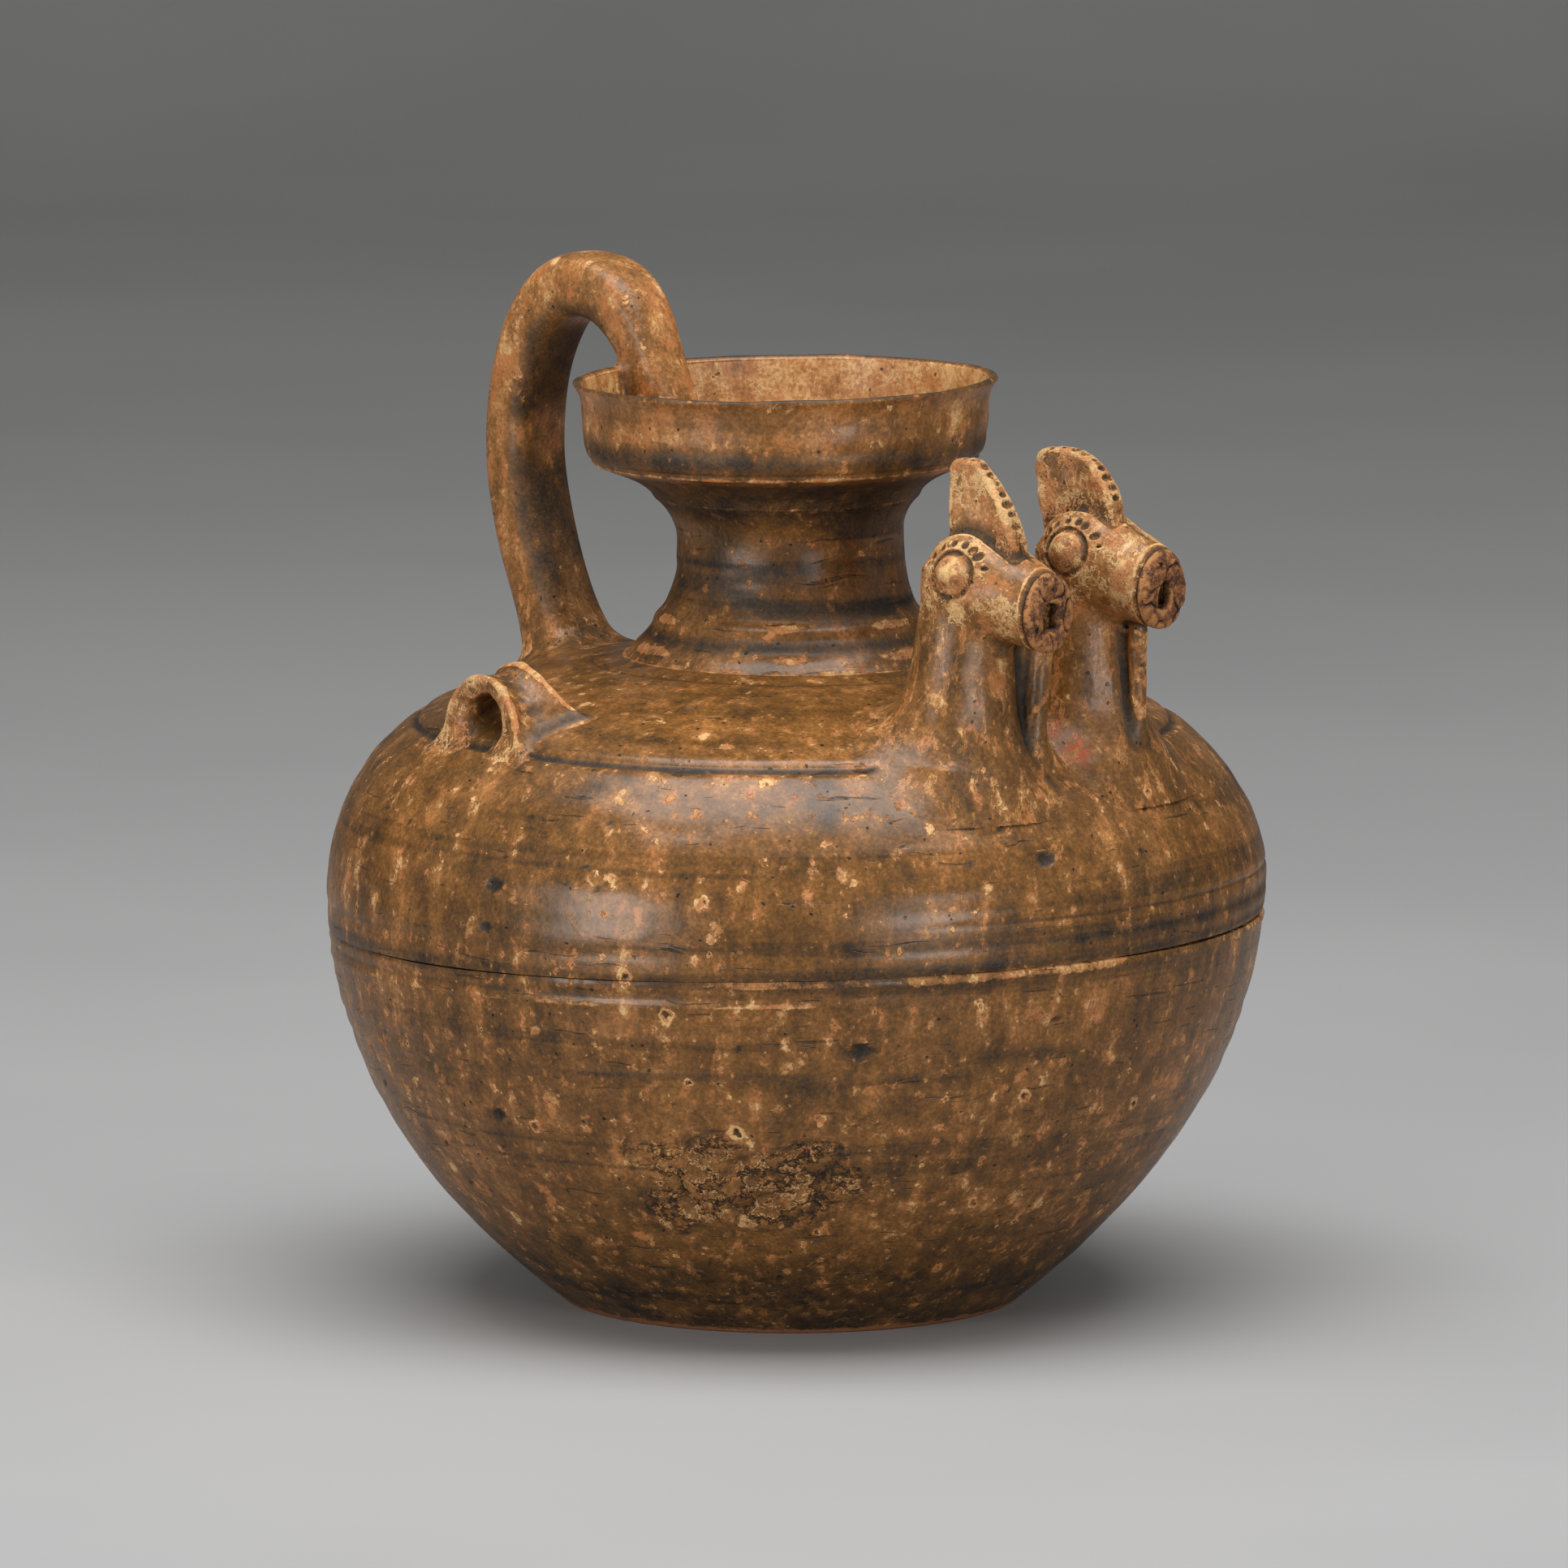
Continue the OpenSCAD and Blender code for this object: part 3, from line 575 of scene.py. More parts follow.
class Shader:
    """Short ways to add nodes to a material."""

    def __init__(self, name):
        self.material = bpy.data.materials.new(name)
        self.material.use_nodes = True
        self.tree = self.material.node_tree
        self.tree.nodes.clear()
        self.place = self.add("ShaderNodeTexCoord").outputs["Object"]
        self.height = self.add("ShaderNodeSeparateXYZ", {0: self.place}).outputs["Z"]

    def add(self, kind, inputs=None, **settings):
        node = self.tree.nodes.new(kind)
        for key, value in settings.items():
            setattr(node, key, value)
        for key, value in (inputs or {}).items():
            self.put(node.inputs[key], value)
        return node

    def put(self, socket, value):
        if isinstance(value, bpy.types.NodeSocket):
            self.tree.links.new(value, socket)
        else:
            socket.default_value = value

    def math(self, operation, a, b=0.0):
        return self.add("ShaderNodeMath", {0: a, 1: b}, operation=operation).outputs[0]

    def vector(self, operation, inputs):
        return self.add("ShaderNodeVectorMath", inputs, operation=operation).outputs[0]

    def times(self, *values):
        total = values[0]
        for value in values[1:]:
            total = self.math("MULTIPLY", total, value)
        return total

    def most(self, *values):
        top = values[0]
        for value in values[1:]:
            top = self.math("MAXIMUM", top, value)
        return top

    def total(self, start, *terms):
        """A starting value plus each term's value times its weight."""
        for value, weight in terms:
            inputs = {0: value, 1: weight, 2: start}
            start = self.add("ShaderNodeMath", inputs, operation="MULTIPLY_ADD").outputs[0]
        return start

    def range(self, value, lo, hi, to_lo=0.0, to_hi=1.0):
        inputs = {0: value, 1: lo, 2: hi, 3: to_lo, 4: to_hi}
        return self.add("ShaderNodeMapRange", inputs, interpolation_type="SMOOTHSTEP").outputs[0]

    def near(self, value, level, far, close):
        """1 within close of a level, fading to 0 at far from it."""
        return self.range(self.math("ABSOLUTE", self.math("SUBTRACT", value, level)), far, close)

    def mix(self, factor, a, b):
        node = self.add("ShaderNodeMix", data_type="RGBA")
        self.put(node.inputs[0], factor)
        for socket, value in ((node.inputs[6], a), (node.inputs[7], b)):
            self.put(socket, value if isinstance(value, bpy.types.NodeSocket) else (*value, 1))
        return node.outputs[2]

    def ramp(self, value, stops):
        node = self.add("ShaderNodeValToRGB", {0: value})
        marks = node.color_ramp.elements
        while len(marks) < len(stops):
            marks.new(1.0)
        for mark, (place, color) in zip(marks, stops):
            mark.position, mark.color = place, (*color, 1)
        return node.outputs[0]

    def stretched(self, along, up, bend=None):
        """Object coordinates scaled level and upright, as spots per metre, bent by a noise if asked."""
        place = self.place
        if bend:
            size, amount = bend
            wave = self.add("ShaderNodeTexNoise", {"Vector": place, "Scale": 1 / size, "Detail": 2.0})
            shift = self.vector("SUBTRACT", {0: wave.outputs["Color"], 1: (0.5, 0.5, 0.5)})
            shift = self.vector("SCALE", {0: shift, 3: amount})
            place = self.vector("ADD", {0: place, 1: shift})
        return self.vector("MULTIPLY", {0: place, 1: (along, along, up)})

    def noise(self, along, up, detail=3.0, roughness=0.55, bend=None):
        vector = self.stretched(along, up, bend)
        inputs = {"Vector": vector, "Scale": 1.0, "Detail": detail, "Roughness": roughness}
        return self.add("ShaderNodeTexNoise", inputs).outputs["Fac"]

    def cells(self, along, up, bend):
        """How far the middle of the nearest cell is, and that cell's three random numbers."""
        vector = self.stretched(along, up, bend)
        node = self.add("ShaderNodeTexVoronoi", {"Vector": vector, "Scale": 1.0})
        pick = self.add("ShaderNodeSeparateColor", {0: node.outputs["Color"]})
        return node.outputs["Distance"], pick.outputs

    def value(self, name):
        return self.add("ShaderNodeAttribute", attribute_name=name).outputs["Fac"]

    def finish(self, color, roughness, height, bump, shine=0.45):
        normal = self.add("ShaderNodeBump", {"Strength": 1.0, "Distance": bump, "Height": height})
        inputs = {"Base Color": color, "Roughness": roughness, "Normal": normal.outputs[0]}
        surface = self.add("ShaderNodeBsdfPrincipled", inputs)
        surface.inputs["Specular IOR Level"].default_value = shine
        output = self.add("ShaderNodeOutputMaterial")
        self.tree.links.new(surface.outputs[0], output.inputs[0])
        return self.material


CREAM = (0.740, 0.450, 0.190)
TAN = (0.490, 0.225, 0.074)
AMBER = (0.288, 0.126, 0.035)
HONEY = (0.184, 0.080, 0.0192)
OLIVE = (0.110, 0.0515, 0.015)
DARK = (0.045, 0.025, 0.011)
DEEP = (0.014, 0.009, 0.006)
ORANGE = (0.470, 0.160, 0.045)
RUST = (0.200, 0.070, 0.028)
RED = (0.420, 0.070, 0.018)
BARE = (0.330, 0.135, 0.052)
BY_THICKNESS = [
    (0.0, CREAM), (0.14, TAN), (0.30, AMBER), (0.45, HONEY), (0.60, OLIVE), (0.80, DARK), (1.0, DEEP),
]


def spots(s, along, up, share, widest, crowd, bend):
    """Pinhole spots: how far each place is in a soft halo, in a spot, in its bright rim and in a pit."""
    away, pick = s.cells(along, up, bend)
    size = s.range(s.times(pick["Red"], crowd), 1 - share, 1.0, 0.0, widest)
    inside = s.math("SUBTRACT", size, away)
    real = s.range(size, 0.03, 0.08)
    halo = s.times(s.range(inside, -0.30, 0.05), real)
    spot = s.times(s.range(inside, -0.03, 0.05), real)
    rim = s.times(s.near(inside, 0.02, 0.07, 0.0), real)
    pit = s.times(s.range(inside, 0.11, 0.18), s.range(pick["Blue"], 0.55, 0.62))
    return halo, spot, rim, pit


def glaze(name):
    """Ash glaze over tan clay: cream where thin, then honey and olive, and nearly black where thick."""
    s = Shader(name)
    wear, hollow, worn, scar, rust, thrown, pale = (
        s.value(v) for v in ("wear", "hollow", "worn", "scar", "rust", "thrown", "pale")
    )
    # Noises, from broad clouds to fine grain
    cloud = s.noise(34, 30, 3, 0.55)
    blotch = s.noise(140, 110, 3, 0.5)
    run = s.noise(150, 20, 3, 0.55, (0.02, 0.008))
    mottle = s.noise(420, 340, 4, 0.6)
    fine = s.noise(1300, 1300, 3, 0.7)
    band = s.noise(5, 170, 3, 0.6)
    scratch = s.noise(70, 1250, 2, 0.5, (0.012, 0.003))

    # Thickness of the glaze, before all that thins or thickens it
    weights = ((cloud, 0.5), (blotch, 0.55), (run, 0.45), (mottle, 0.45), (fine, 0.70))
    thick = s.total(0.475 - 0.5 * sum(w for _, w in weights), *weights)

    # Thin drips, and pinhole spots that crowd in them and low on the jar
    low = s.range(s.height, 0.112, 0.06, 0.0, 0.06)
    drip = s.range(s.noise(250, 75, 2, 0.5, (0.006, 0.004)), 0.48, 0.70)
    drip = s.times(drip, s.range(s.most(hollow, pale), 0.0, 0.5, 1.0, 0.2))
    crowd = s.total(0.805, (drip, 0.14), (low, 1.2))
    lace = s.noise(290, 240, 6, 0.72, (0.003, 0.002))
    bar = s.total(0.685, (drip, -0.075), (low, -0.30), (cloud, -0.1))
    over = s.math("SUBTRACT", lace, bar)
    layers = [
        spots(s, 150, 125, 0.55, 0.26, crowd, (0.0016, 0.0030)),
        spots(s, 310, 270, 0.50, 0.30, crowd, (0.0009, 0.0016)),
        spots(s, 700, 640, 0.34, 0.32, crowd, (0.0006, 0.0008)),
        (s.range(over, -0.09, 0.0), s.range(over, -0.004, 0.012), s.near(over, 0.0, 0.014, 0.0), 0.0),
    ]
    halo, spot, rim, pit = (s.most(*kind) for kind in zip(*layers))
    ragged = s.range(fine, 0.34, 0.54)
    small_spot = layers[2][1]
    thick = s.total(thick, (drip, -0.08), (halo, -0.11), (spot, -0.17), (pit, 0.7))
    thick = s.total(thick, (s.times(rim, ragged), -0.34), (s.times(small_spot, ragged), -0.16))
    away, pick = s.cells(430, 430, (0.001, 0.001))
    hole = s.times(s.range(away, 0.17, 0.10), s.range(pick["Red"], 0.80, 0.84))
    thick = s.total(thick, (hole, 0.45))

    # Dry patches with lacy shores where the glaze is worn
    patch = s.noise(120, 85, 6, 0.66, (0.004, 0.004))
    over = s.math("SUBTRACT", patch, s.range(worn, 0.0, 1.0, 0.86, 0.525))
    dry = s.range(over, -0.012, 0.022)
    shore = s.near(over, 0.0, 0.020, 0.006)
    veins = s.noise(240, 220, 5, 0.68, (0.002, 0.0015))
    veins = s.times(s.near(veins, 0.5, 0.040, 0.010), s.range(over, -0.11, -0.02))
    lacy = s.times(s.most(shore, veins), s.range(worn, 0.25, 0.8), s.range(fine, 0.30, 0.5, 0.35, 1.0))
    grain = s.range(mottle, 0.38, 0.62, -1.0, 1.0)
    thick = s.total(thick, (dry, -0.13), (s.times(dry, grain), 0.14), (lacy, -0.50), (worn, -0.13))

    # Thin runs down the modelled pieces
    stream = s.noise(300, 62, 5, 0.62, (0.004, 0.003))
    free = s.times(s.range(thrown, 0.5, 0.0), s.range(hollow, 0.3, 0.0), s.range(pale, 0.3, 0.0))
    running = s.times(s.range(stream, 0.565, 0.59), free)
    brink = s.times(s.near(stream, 0.57, 0.016, 0.003), free, ragged)
    thick = s.total(thick, (running, -0.13), (brink, -0.34))

    # Worn edges (with painted highlight on the neck's ribs), pooled glaze and painted shade in hollows, dark
    # bands, cuts from throwing, and a darker foot that is partly painted shade
    frayed = s.times(s.math("SUBTRACT", s.noise(260, 260, 5, 0.7), 0.5), 2.6)
    level = s.total(wear, (frayed, 1.0), (thrown, -0.30))
    edge = s.times(s.range(level, 0.30, 0.62), s.range(wear, 0.02, 0.15))
    dark_band = s.times(thrown, s.range(band, 0.46, 0.34))
    cut = s.times(thrown, s.range(scratch, 0.68, 0.73))
    # Darker towards the foot: partly thicker glaze, partly painted shade
    foot_glaze_and_shade = s.range(s.total(s.height, (cloud, 0.02)), 0.038, 0.016)
    thick = s.total(thick, (edge, -0.34), (hollow, 0.40), (pale, -0.46))
    thick = s.total(thick, (dark_band, 0.16), (cut, 0.22), (foot_glaze_and_shade, 0.22))

    # The scar: pale ridges, dark cracks and flakes
    crust = s.noise(150, 190, 6, 0.68)
    line = s.times(s.near(crust, 0.53, 0.030, 0.006), scar)
    crack = s.times(s.near(crust, 0.475, 0.016, 0.003), scar)
    flake = s.times(scar, s.range(crust, 0.53, 0.6))
    thick = s.total(thick, (s.times(line, ragged), -0.62), (crack, 0.5), (flake, -0.10))

    # Colour by thickness, with orange, rust, red and bare clay in places
    color = s.ramp(thick, BY_THICKNESS)
    warm = s.noise(210, 190, 4, 0.62)
    thin = s.range(thick, 0.36, 0.18)
    color = s.mix(s.times(thin, s.range(warm, 0.47, 0.57), s.range(pale, 0.2, 0.8, 0.75, 0.3)), color, ORANGE)
    color = s.mix(s.times(pit, s.range(warm, 0.44, 0.54), 0.7), color, RUST)
    color = s.mix(s.times(rust, s.range(mottle, 0.44, 0.54)), color, RED)
    bare = s.range(s.total(s.height, (mottle, 0.0022)), 0.0026, 0.0016)
    color = s.mix(bare, color, BARE)

    # Gloss and fine relief
    matt = s.most(rust, s.times(dry, 0.7), edge, line, bare, s.times(spot, 0.6), s.times(hollow, 0.8))
    roughness = s.total(0.30, (matt, 0.32), (hollow, 0.1), (cloud, 0.12), (thrown, -0.085))
    height = s.total(
        0.0, (spot, 0.10), (rim, 0.14), (pit, -0.55), (hole, -0.3), (mottle, 0.10),
        (line, 0.5), (crack, -0.6), (lacy, 0.3), (cut, -0.25), (s.times(fine, matt), 0.4),
        (s.times(blotch, s.range(thrown, 1.0, 0.0)), 1.2),
    )
    return s.finish(color, roughness, height, 0.0006)


def clay(name):
    """Rough reddish-brown clay where the glaze drew back from the beak's end."""
    s = Shader(name)
    wear, hollow = s.value("wear"), s.value("hollow")
    lumps = s.noise(430, 430, 5, 0.65)
    fine = s.noise(1300, 1300, 3, 0.6)
    flake = s.noise(620, 620, 5, 0.7)
    color = s.mix(s.range(lumps, 0.38, 0.64), (0.085, 0.032, 0.016), (0.235, 0.085, 0.034))
    vein = s.near(flake, 0.5, 0.026, 0.006)
    color = s.mix(s.times(vein, 0.8, s.range(fine, 0.36, 0.5)), color, TAN)
    color = s.mix(s.times(wear, s.range(lumps, 0.40, 0.52), 0.8), color, TAN)
    # Painted shade, nearly black, in the bore and other hollows of the bare clay
    color = s.mix(s.range(hollow, 0.3, 1.0), color, (0.012, 0.008, 0.006))
    height = s.total(0.0, (lumps, 0.7), (fine, 0.35))
    return s.finish(color, s.range(lumps, 0.3, 0.7, 0.5, 0.75), height, 0.0007, 0.3)


BODY_GLAZE = glaze("body_glaze_look")
HEAD_GLAZE = glaze("worn_glaze_look")
CLAY = clay("bare_clay_look")


# Turned pieces

def turned(node, outside, inside, columns, bump, extra):
    """A thrown piece: extra gives the values that differ from a plain wall's."""
    points, faces, proud, r, z = lathe(outside, inside, columns, bump)
    theta = np.arctan2(points[:, 1], points[:, 0])
    chip = np.abs(chip_field(theta, z))
    plain = {
        "wear": np.clip((proud - 0.05) / 0.16, 0, 1) * (chip < 0.02),
        # Concave places darken: pooled glaze and painted shade
        "hollow": np.clip((-proud - 0.03) / 0.16, 0, 1),
        "worn": 0 * r, "scar": 0 * r, "pale": 0 * r, "thrown": 1 + 0 * r, "rust": rusty(points),
    }
    plain.update(extra(theta, r, z, plain["wear"], plain["hollow"]))
    points, faces, *kept = tidy(points, faces, *plain.values())
    values = {name: np.clip(number, 0, 1) for name, number in zip(plain, kept)}
    make_piece(node, "body_glaze", points, faces, values, BODY_GLAZE)


def lower_body():
    wall_line = below(JAR_OUT, SEAM_Z)
    wall_line[:, 0] -= SEAM_STEP * (wall_line[:, 1] / SEAM_Z) ** 6
    floor_line = np.stack([np.linspace(0, BASE_R - 1, 8), np.zeros(8)], -1)
    outside = np.vstack([floor_line, resample(np.vstack([[BASE_R - 0.6, 0.1], wall_line[1:]]), 146)])
    inner = above(below(JAR_IN, SEAM_Z), FLOOR_T)
    inside = np.vstack([[0, FLOOR_T], [0.5 * inner[0, 0], FLOOR_T], resample(inner, 16)])

    def bump(theta, r, z):
        return body_bump(theta, r, z) * step(0.2, 4, z)

    def extra(theta, r, z, wear, hollow):
        scar = scar_field(theta, z)
        outer = r > np.interp(z, inside[2:, 1], inside[2:, 0]) + 1
        band = bell(z - 60.5, 2.2) * arc(theta, -92, -40) + bell(z - 56.5, 2.0) * arc(theta, -48, -20)
        band += bell(z - 61.5, 1.8) * arc(theta, -22, 40)
        streak = step(-0.1, 0.5, noise(round_points(theta, 40, 6 * z), 16, 51))
        chip = step(0.15, 0.5, chip_field(theta, z))
        hollow = np.maximum(hollow * (1 - 0.6 * scar), np.maximum(0.6 * band * streak, 0.9 * chip))
        broken = seam_share(theta)
        line = bell(z - SECOND_SEAM_Z, 0.7) * arc(theta, -135, -42) * broken
        wear = wear * (0.3 + 0.7 * arc(theta, -60, 150)) * broken + 0.9 * line
        return {"wear": wear * (1 - 0.6 * scar), "hollow": hollow * outer, "scar": scar * outer}

    turned("lower_body", outside, inside, 512, bump, extra)


def upper_body():
    outside = resample(above(JAR_OUT, SEAM_Z), 158)
    inner = resample(above(JAR_IN, SEAM_Z), 18)
    inside = np.vstack([inner, [SEAT_R - NECK_WALL, SEAT_Z]])

    def extra(theta, r, z, wear, hollow):
        dark = bell(z - BELLY_LINE_Z, 1.6) * arc(theta, -15, 60) * 0.6
        # Painted shade just above the seam, strongest where the seam stands open
        dark = dark + 0.7 * bell(z - SEAM_Z - 1.2, 1.2) * (seam_gap(theta) - 0.2)
        chip = step(0.15, 0.5, chip_field(theta, z))
        wear = wear * step(SEAM_Z + 0.8, SEAM_Z + 2.5, z)
        return {"wear": wear, "hollow": np.maximum(hollow, np.maximum(dark, 0.9 * chip))}

    turned("upper_body", outside, inside, 512, shoulder_bump, extra)


def neck_radius(h):
    lower = WAIST_R + (SEAT_R - WAIST_R) * np.clip(1 - h / WAIST_H, 0, 1) ** 2.2
    upper = (NECK_TOP_R - WAIST_R) * np.clip((h - WAIST_H) / (NECK_H - WAIST_H), 0, 1) ** 3
    return lower + upper


LOW_RIB_H, HIGH_RIB_H, RIB_W, LOW_RIB, HIGH_RIB = 0.3, 0.6, 1.4, 2.0, 8.0


def neck():
    h = np.linspace(0, NECK_H, 118)
    ribs = LOW_RIB_H * bell(h - LOW_RIB, RIB_W) + HIGH_RIB_H * bell(h - HIGH_RIB, RIB_W)
    outside = np.stack([neck_radius(h) + ribs, SEAT_Z + h], -1)
    g = np.linspace(0, NECK_H, 40)
    inside = np.stack([neck_radius(g) - NECK_WALL, SEAT_Z + g], -1)

    def bump(theta, r, z):
        rise = z - SEAT_Z
        b = 0.8 * rings(theta, z) + 0.15 * noise(round_points(theta, 9, 1.7 * z), 6, 61)
        return b * step(0, 2, rise) * step(NECK_H, NECK_H - 2, rise)

    def extra(theta, r, z, wear, hollow):
        rise = z - SEAT_Z
        band = noise(round_points(theta, 8, 2.4 * z), 9, 63)
        band = band + 0.4 * noise(round_points(theta, 14, 5 * z), 7, 64)
        dark = 0.15 + 0.65 * step(-0.2, 0.55, band)
        # Painted shade in the gap between the ribs, over random darker bands
        dark = dark * step(6, 12, rise) + 0.75 * bell(rise - 4.6, 1.3)
        # Painted shade at the top of the neck, under the dish
        dark = np.maximum(dark, 0.8 * step(NECK_H - 6, NECK_H, rise))
        # Painted highlight along the tops of the ribs, carried in the wear value
        painted_rib_highlight = 1.5 * (bell(rise - HIGH_RIB - 0.3, 1.1) + bell(rise - LOW_RIB - 0.4, 1.0))
        painted_rib_highlight = painted_rib_highlight * step(-0.35, 0.5, noise(round_points(theta, 30, 0.5 * z), 11, 65))
        return {"wear": 0.6 * wear + painted_rib_highlight, "hollow": np.maximum(0.6 * hollow, dark - painted_rib_highlight)}

    turned("neck", outside, inside, 300, bump, extra)


def dish_outlines(count):
    """Outside and inside of the dish mouth, each from its foot to the lip."""
    foot = np.array([NECK_TOP_R, NECK_TOP_Z])
    ledge = np.array([LEDGE_R, LEDGE_Z])
    rim = np.array([RIM_R, RIM_Z])
    slope = math.degrees(math.atan2(LEDGE_H, LEDGE_R - NECK_TOP_R))
    lip = rim - [LIP_T, 0]
    ledge_in = ledge + polar(MOUTH_WALL, slope + 90)
    throat = np.array([NECK_TOP_R - NECK_WALL, NECK_TOP_Z + MOUTH_WALL])
    pull, bow = MOUTH_H / 4, MOUTH_WALL / 4
    side = foot + np.array([
        [0, 0], [1.2, 1.9], [3.7, 3.7], [6.9, 5.2], [9.8, 6.3], [11.9, 7.3],
        [13.2, 9.0], [13.8, 11.2], [14.1, 14.2], [14.3, 18.2], [14.8, 21.4], [16.05, 23.2],
    ])
    for _ in range(3):
        start, end = side[:-1], side[1:]
        cut = np.stack([0.75 * start + 0.25 * end, 0.25 * start + 0.75 * end], 1).reshape(-1, 2)
        side = np.vstack([side[:1], cut, side[-1:]])
    lip_top = curve(side[-1], rim - [0, 0.1], lip + [0.6, 0.25], lip - [0.1, 0.9], 12)
    inner = curve(lip - [0.1, 0.9], lip - [bow, pull], ledge_in + [2 * bow, pull / 2], ledge_in, 40)
    funnel = np.array([ledge_in, throat, [throat[0], NECK_TOP_Z]])
    outside = resample(np.vstack([side, lip_top[1:]]), count)
    inside = resample(np.vstack([inner, funnel[1:]]), count // 2)[::-1]
    return outside, inside


def dish_mouth():
    outside, inside = dish_outlines(150)
    rising = outside[:outside[:, 1].argmax() + 1]
    middle = rising.copy()
    middle[:, 0] = (rising[:, 0] + np.interp(rising[:, 1], inside[:, 1], inside[:, 0])) / 2

    def bump(theta, r, z):
        b = 0.8 * rings(theta, z) + 0.5 * wobble(theta, r, z)
        over = z - LEDGE_Z
        b += 0.22 * bell(over + 0.1, 0.4) - 0.3 * bell(over - 0.7, 0.35) - 0.12 * bell(over - 5, 1.2)
        b += 0.18 * noise(round_points(theta, r, z), 7, 71) * step(RIM_Z - 3, RIM_Z, z)
        return b * step(NECK_TOP_Z, NECK_TOP_Z + 2, z)

    def extra(theta, r, z, wear, hollow):
        lip = step(RIM_Z - 0.9, RIM_Z - 0.2, z)
        inner = step(LEDGE_Z + 1, LEDGE_Z + 4, z) * (r < np.interp(z, middle[:, 1], middle[:, 0]))
        patchy = step(-0.5, 0.5, noise(round_points(theta, 40, 2 * z), 12, 73))
        # Painted shade on the underside below the ledge, and a patchy darker band just above it
        ledge_shade_and_band = 0.7 * step(LEDGE_Z - 0.6, LEDGE_Z - 2.2, z)
        ledge_shade_and_band = ledge_shade_and_band + (0.3 + 0.4 * patchy) * bell(z - LEDGE_Z - 3.4, 2.2) * (1 - inner)
        edge = 0.75 * bell(z - LEDGE_Z + 0.1, 0.45)
        side = step(LEDGE_Z + 2, LEDGE_Z + 9, z)
        return {
            "wear": 0.5 * wear * (1 - lip) + edge,
            "hollow": np.maximum.reduce([0.6 * hollow * (1 - inner), ledge_shade_and_band, 0.5 * lip]),
            "pale": np.maximum(0.45 * side, 0.7 * inner) * (1 - lip),
            "worn": 0.4 * inner,
            "thrown": 0.4 * (1 - inner),
        }

    turned("dish_mouth", outside, inside, 384, bump, extra)


# Places where the clay burned red, in front of and between the spout necks: middle and size
RUST_SPOTS = [
    ((79.0, 0.5, 119.5), 3.0), ((84.5, -4.5, 115.5), 2.4),
    ((74.0, -1.5, 124.0), 2.6), ((76.5, 0.0, 129.0), 2.6),
]


def rusty(p):
    red = 0
    for place, size in RUST_SPOTS:
        red = np.maximum(red, bell(length(p - np.array(place)), size))
    return red


# Luted pieces

LOOKS = {"body_glaze": BODY_GLAZE, "worn_glaze": HEAD_GLAZE, "bare_clay": CLAY}


def luted(node, slot, field, box, size, worn, sharp, groove, dark=1.0, pale=None):
    """A piece from a level set in a box, with worn edges, and pooled glaze and painted shade in hollows,
    found from how its skin bends.
    """
    points, faces = mesh_field(field, *box, size)
    bend = curl(points, field)
    wear = np.clip((bend - sharp[0]) / sharp[1], 0, 1)
    # Concave places darken: pooled glaze and painted shade
    hollow = dark * np.clip((-bend - 0.12) / 0.5, 0, 1)
    hollow = np.maximum(hollow, groove(points))
    wear = wear * (1 - hollow)
    none = 0 * wear
    values = {"wear": wear, "hollow": hollow, "worn": worn(points), "rust": rusty(points)}
    values.update({"scar": none, "pale": pale(points) if pale else none, "thrown": none})
    make_piece(node, slot, points, faces, values, LOOKS[slot])


# How far a smeared edge ends below the clay that it lies on, and how far a luted piece is let into it
FEATHER, SUNK = 0.04, 0.5

DISH_SECTION = np.vstack([dish_outlines(40)[0], dish_outlines(40)[1][::-1]])


def handle_line():
    """The handle's middle line in the XZ plane, from inside the shoulder to its end in the mouth."""
    foot = np.array([-HANDLE_FOOT_R, shoulder_z(HANDLE_FOOT_R)])
    reach = np.array([-HANDLE_REACH, SEAT_Z + HANDLE_REACH_H])
    top = np.array([-HANDLE_TOP_R, RIM_Z + HANDLE_RISE])
    tip_r = RIM_R - LIP_T - TIP_IN
    tip = np.array([-tip_r, RIM_Z - TIP_DROP])
    root = foot + polar(HANDLE_T / 2, -HANDLE_LEAN)
    rise, drop = top[1] - reach[1], top[1] - tip[1]
    leave = root + polar(0.5 * HANDLE_REACH_H, 180 - HANDLE_LEAN)
    return resample(np.vstack([
        curve(root, leave, reach - [0, 0.45 * HANDLE_REACH_H], reach, 60),
        curve(reach, reach + [0, 0.56 * rise], top - [0.56 * (top[0] - reach[0]), 0], top, 60)[1:],
        curve(top, top + [0.56 * (tip[0] - top[0]), 0], tip + polar(0.75 * drop, TIP_LEAN), tip, 60)[1:],
    ]), 150)


HANDLE_LINE = handle_line()
HANDLE_STEPS = np.r_[0, np.cumsum(length(np.diff(HANDLE_LINE, axis=0)))]
HANDLE_DIR = np.gradient(HANDLE_LINE, axis=0)
HANDLE_DIR /= length(HANDLE_DIR)[:, None]


def handle_place(p):
    """How far along the middle line a point is, how far outside the bow and how far beyond the line's end."""
    x, z = p[..., 0], p[..., 2]
    best = np.full(x.shape, 1e9)
    at = np.zeros(x.shape, int)
    for i, (lx, lz) in enumerate(HANDLE_LINE):
        d = (x - lx) ** 2 + (z - lz) ** 2
        closer = d < best
        best = np.where(closer, d, best)
        at = np.where(closer, i, at)
    line, way = HANDLE_LINE[at], HANDLE_DIR[at]
    ahead = (x - line[..., 0]) * way[..., 0] + (z - line[..., 1]) * way[..., 1]
    s = np.clip(HANDLE_STEPS[at] + ahead, 0, HANDLE_STEPS[-1])
    line_x, line_z, way_x, way_z = (np.interp(s, HANDLE_STEPS, v) for v in (*HANDLE_LINE.T, *HANDLE_DIR.T))
    dx, dz = x - line_x, z - line_z
    return s, dz * way_x - dx * way_z, dx * way_x + dz * way_z


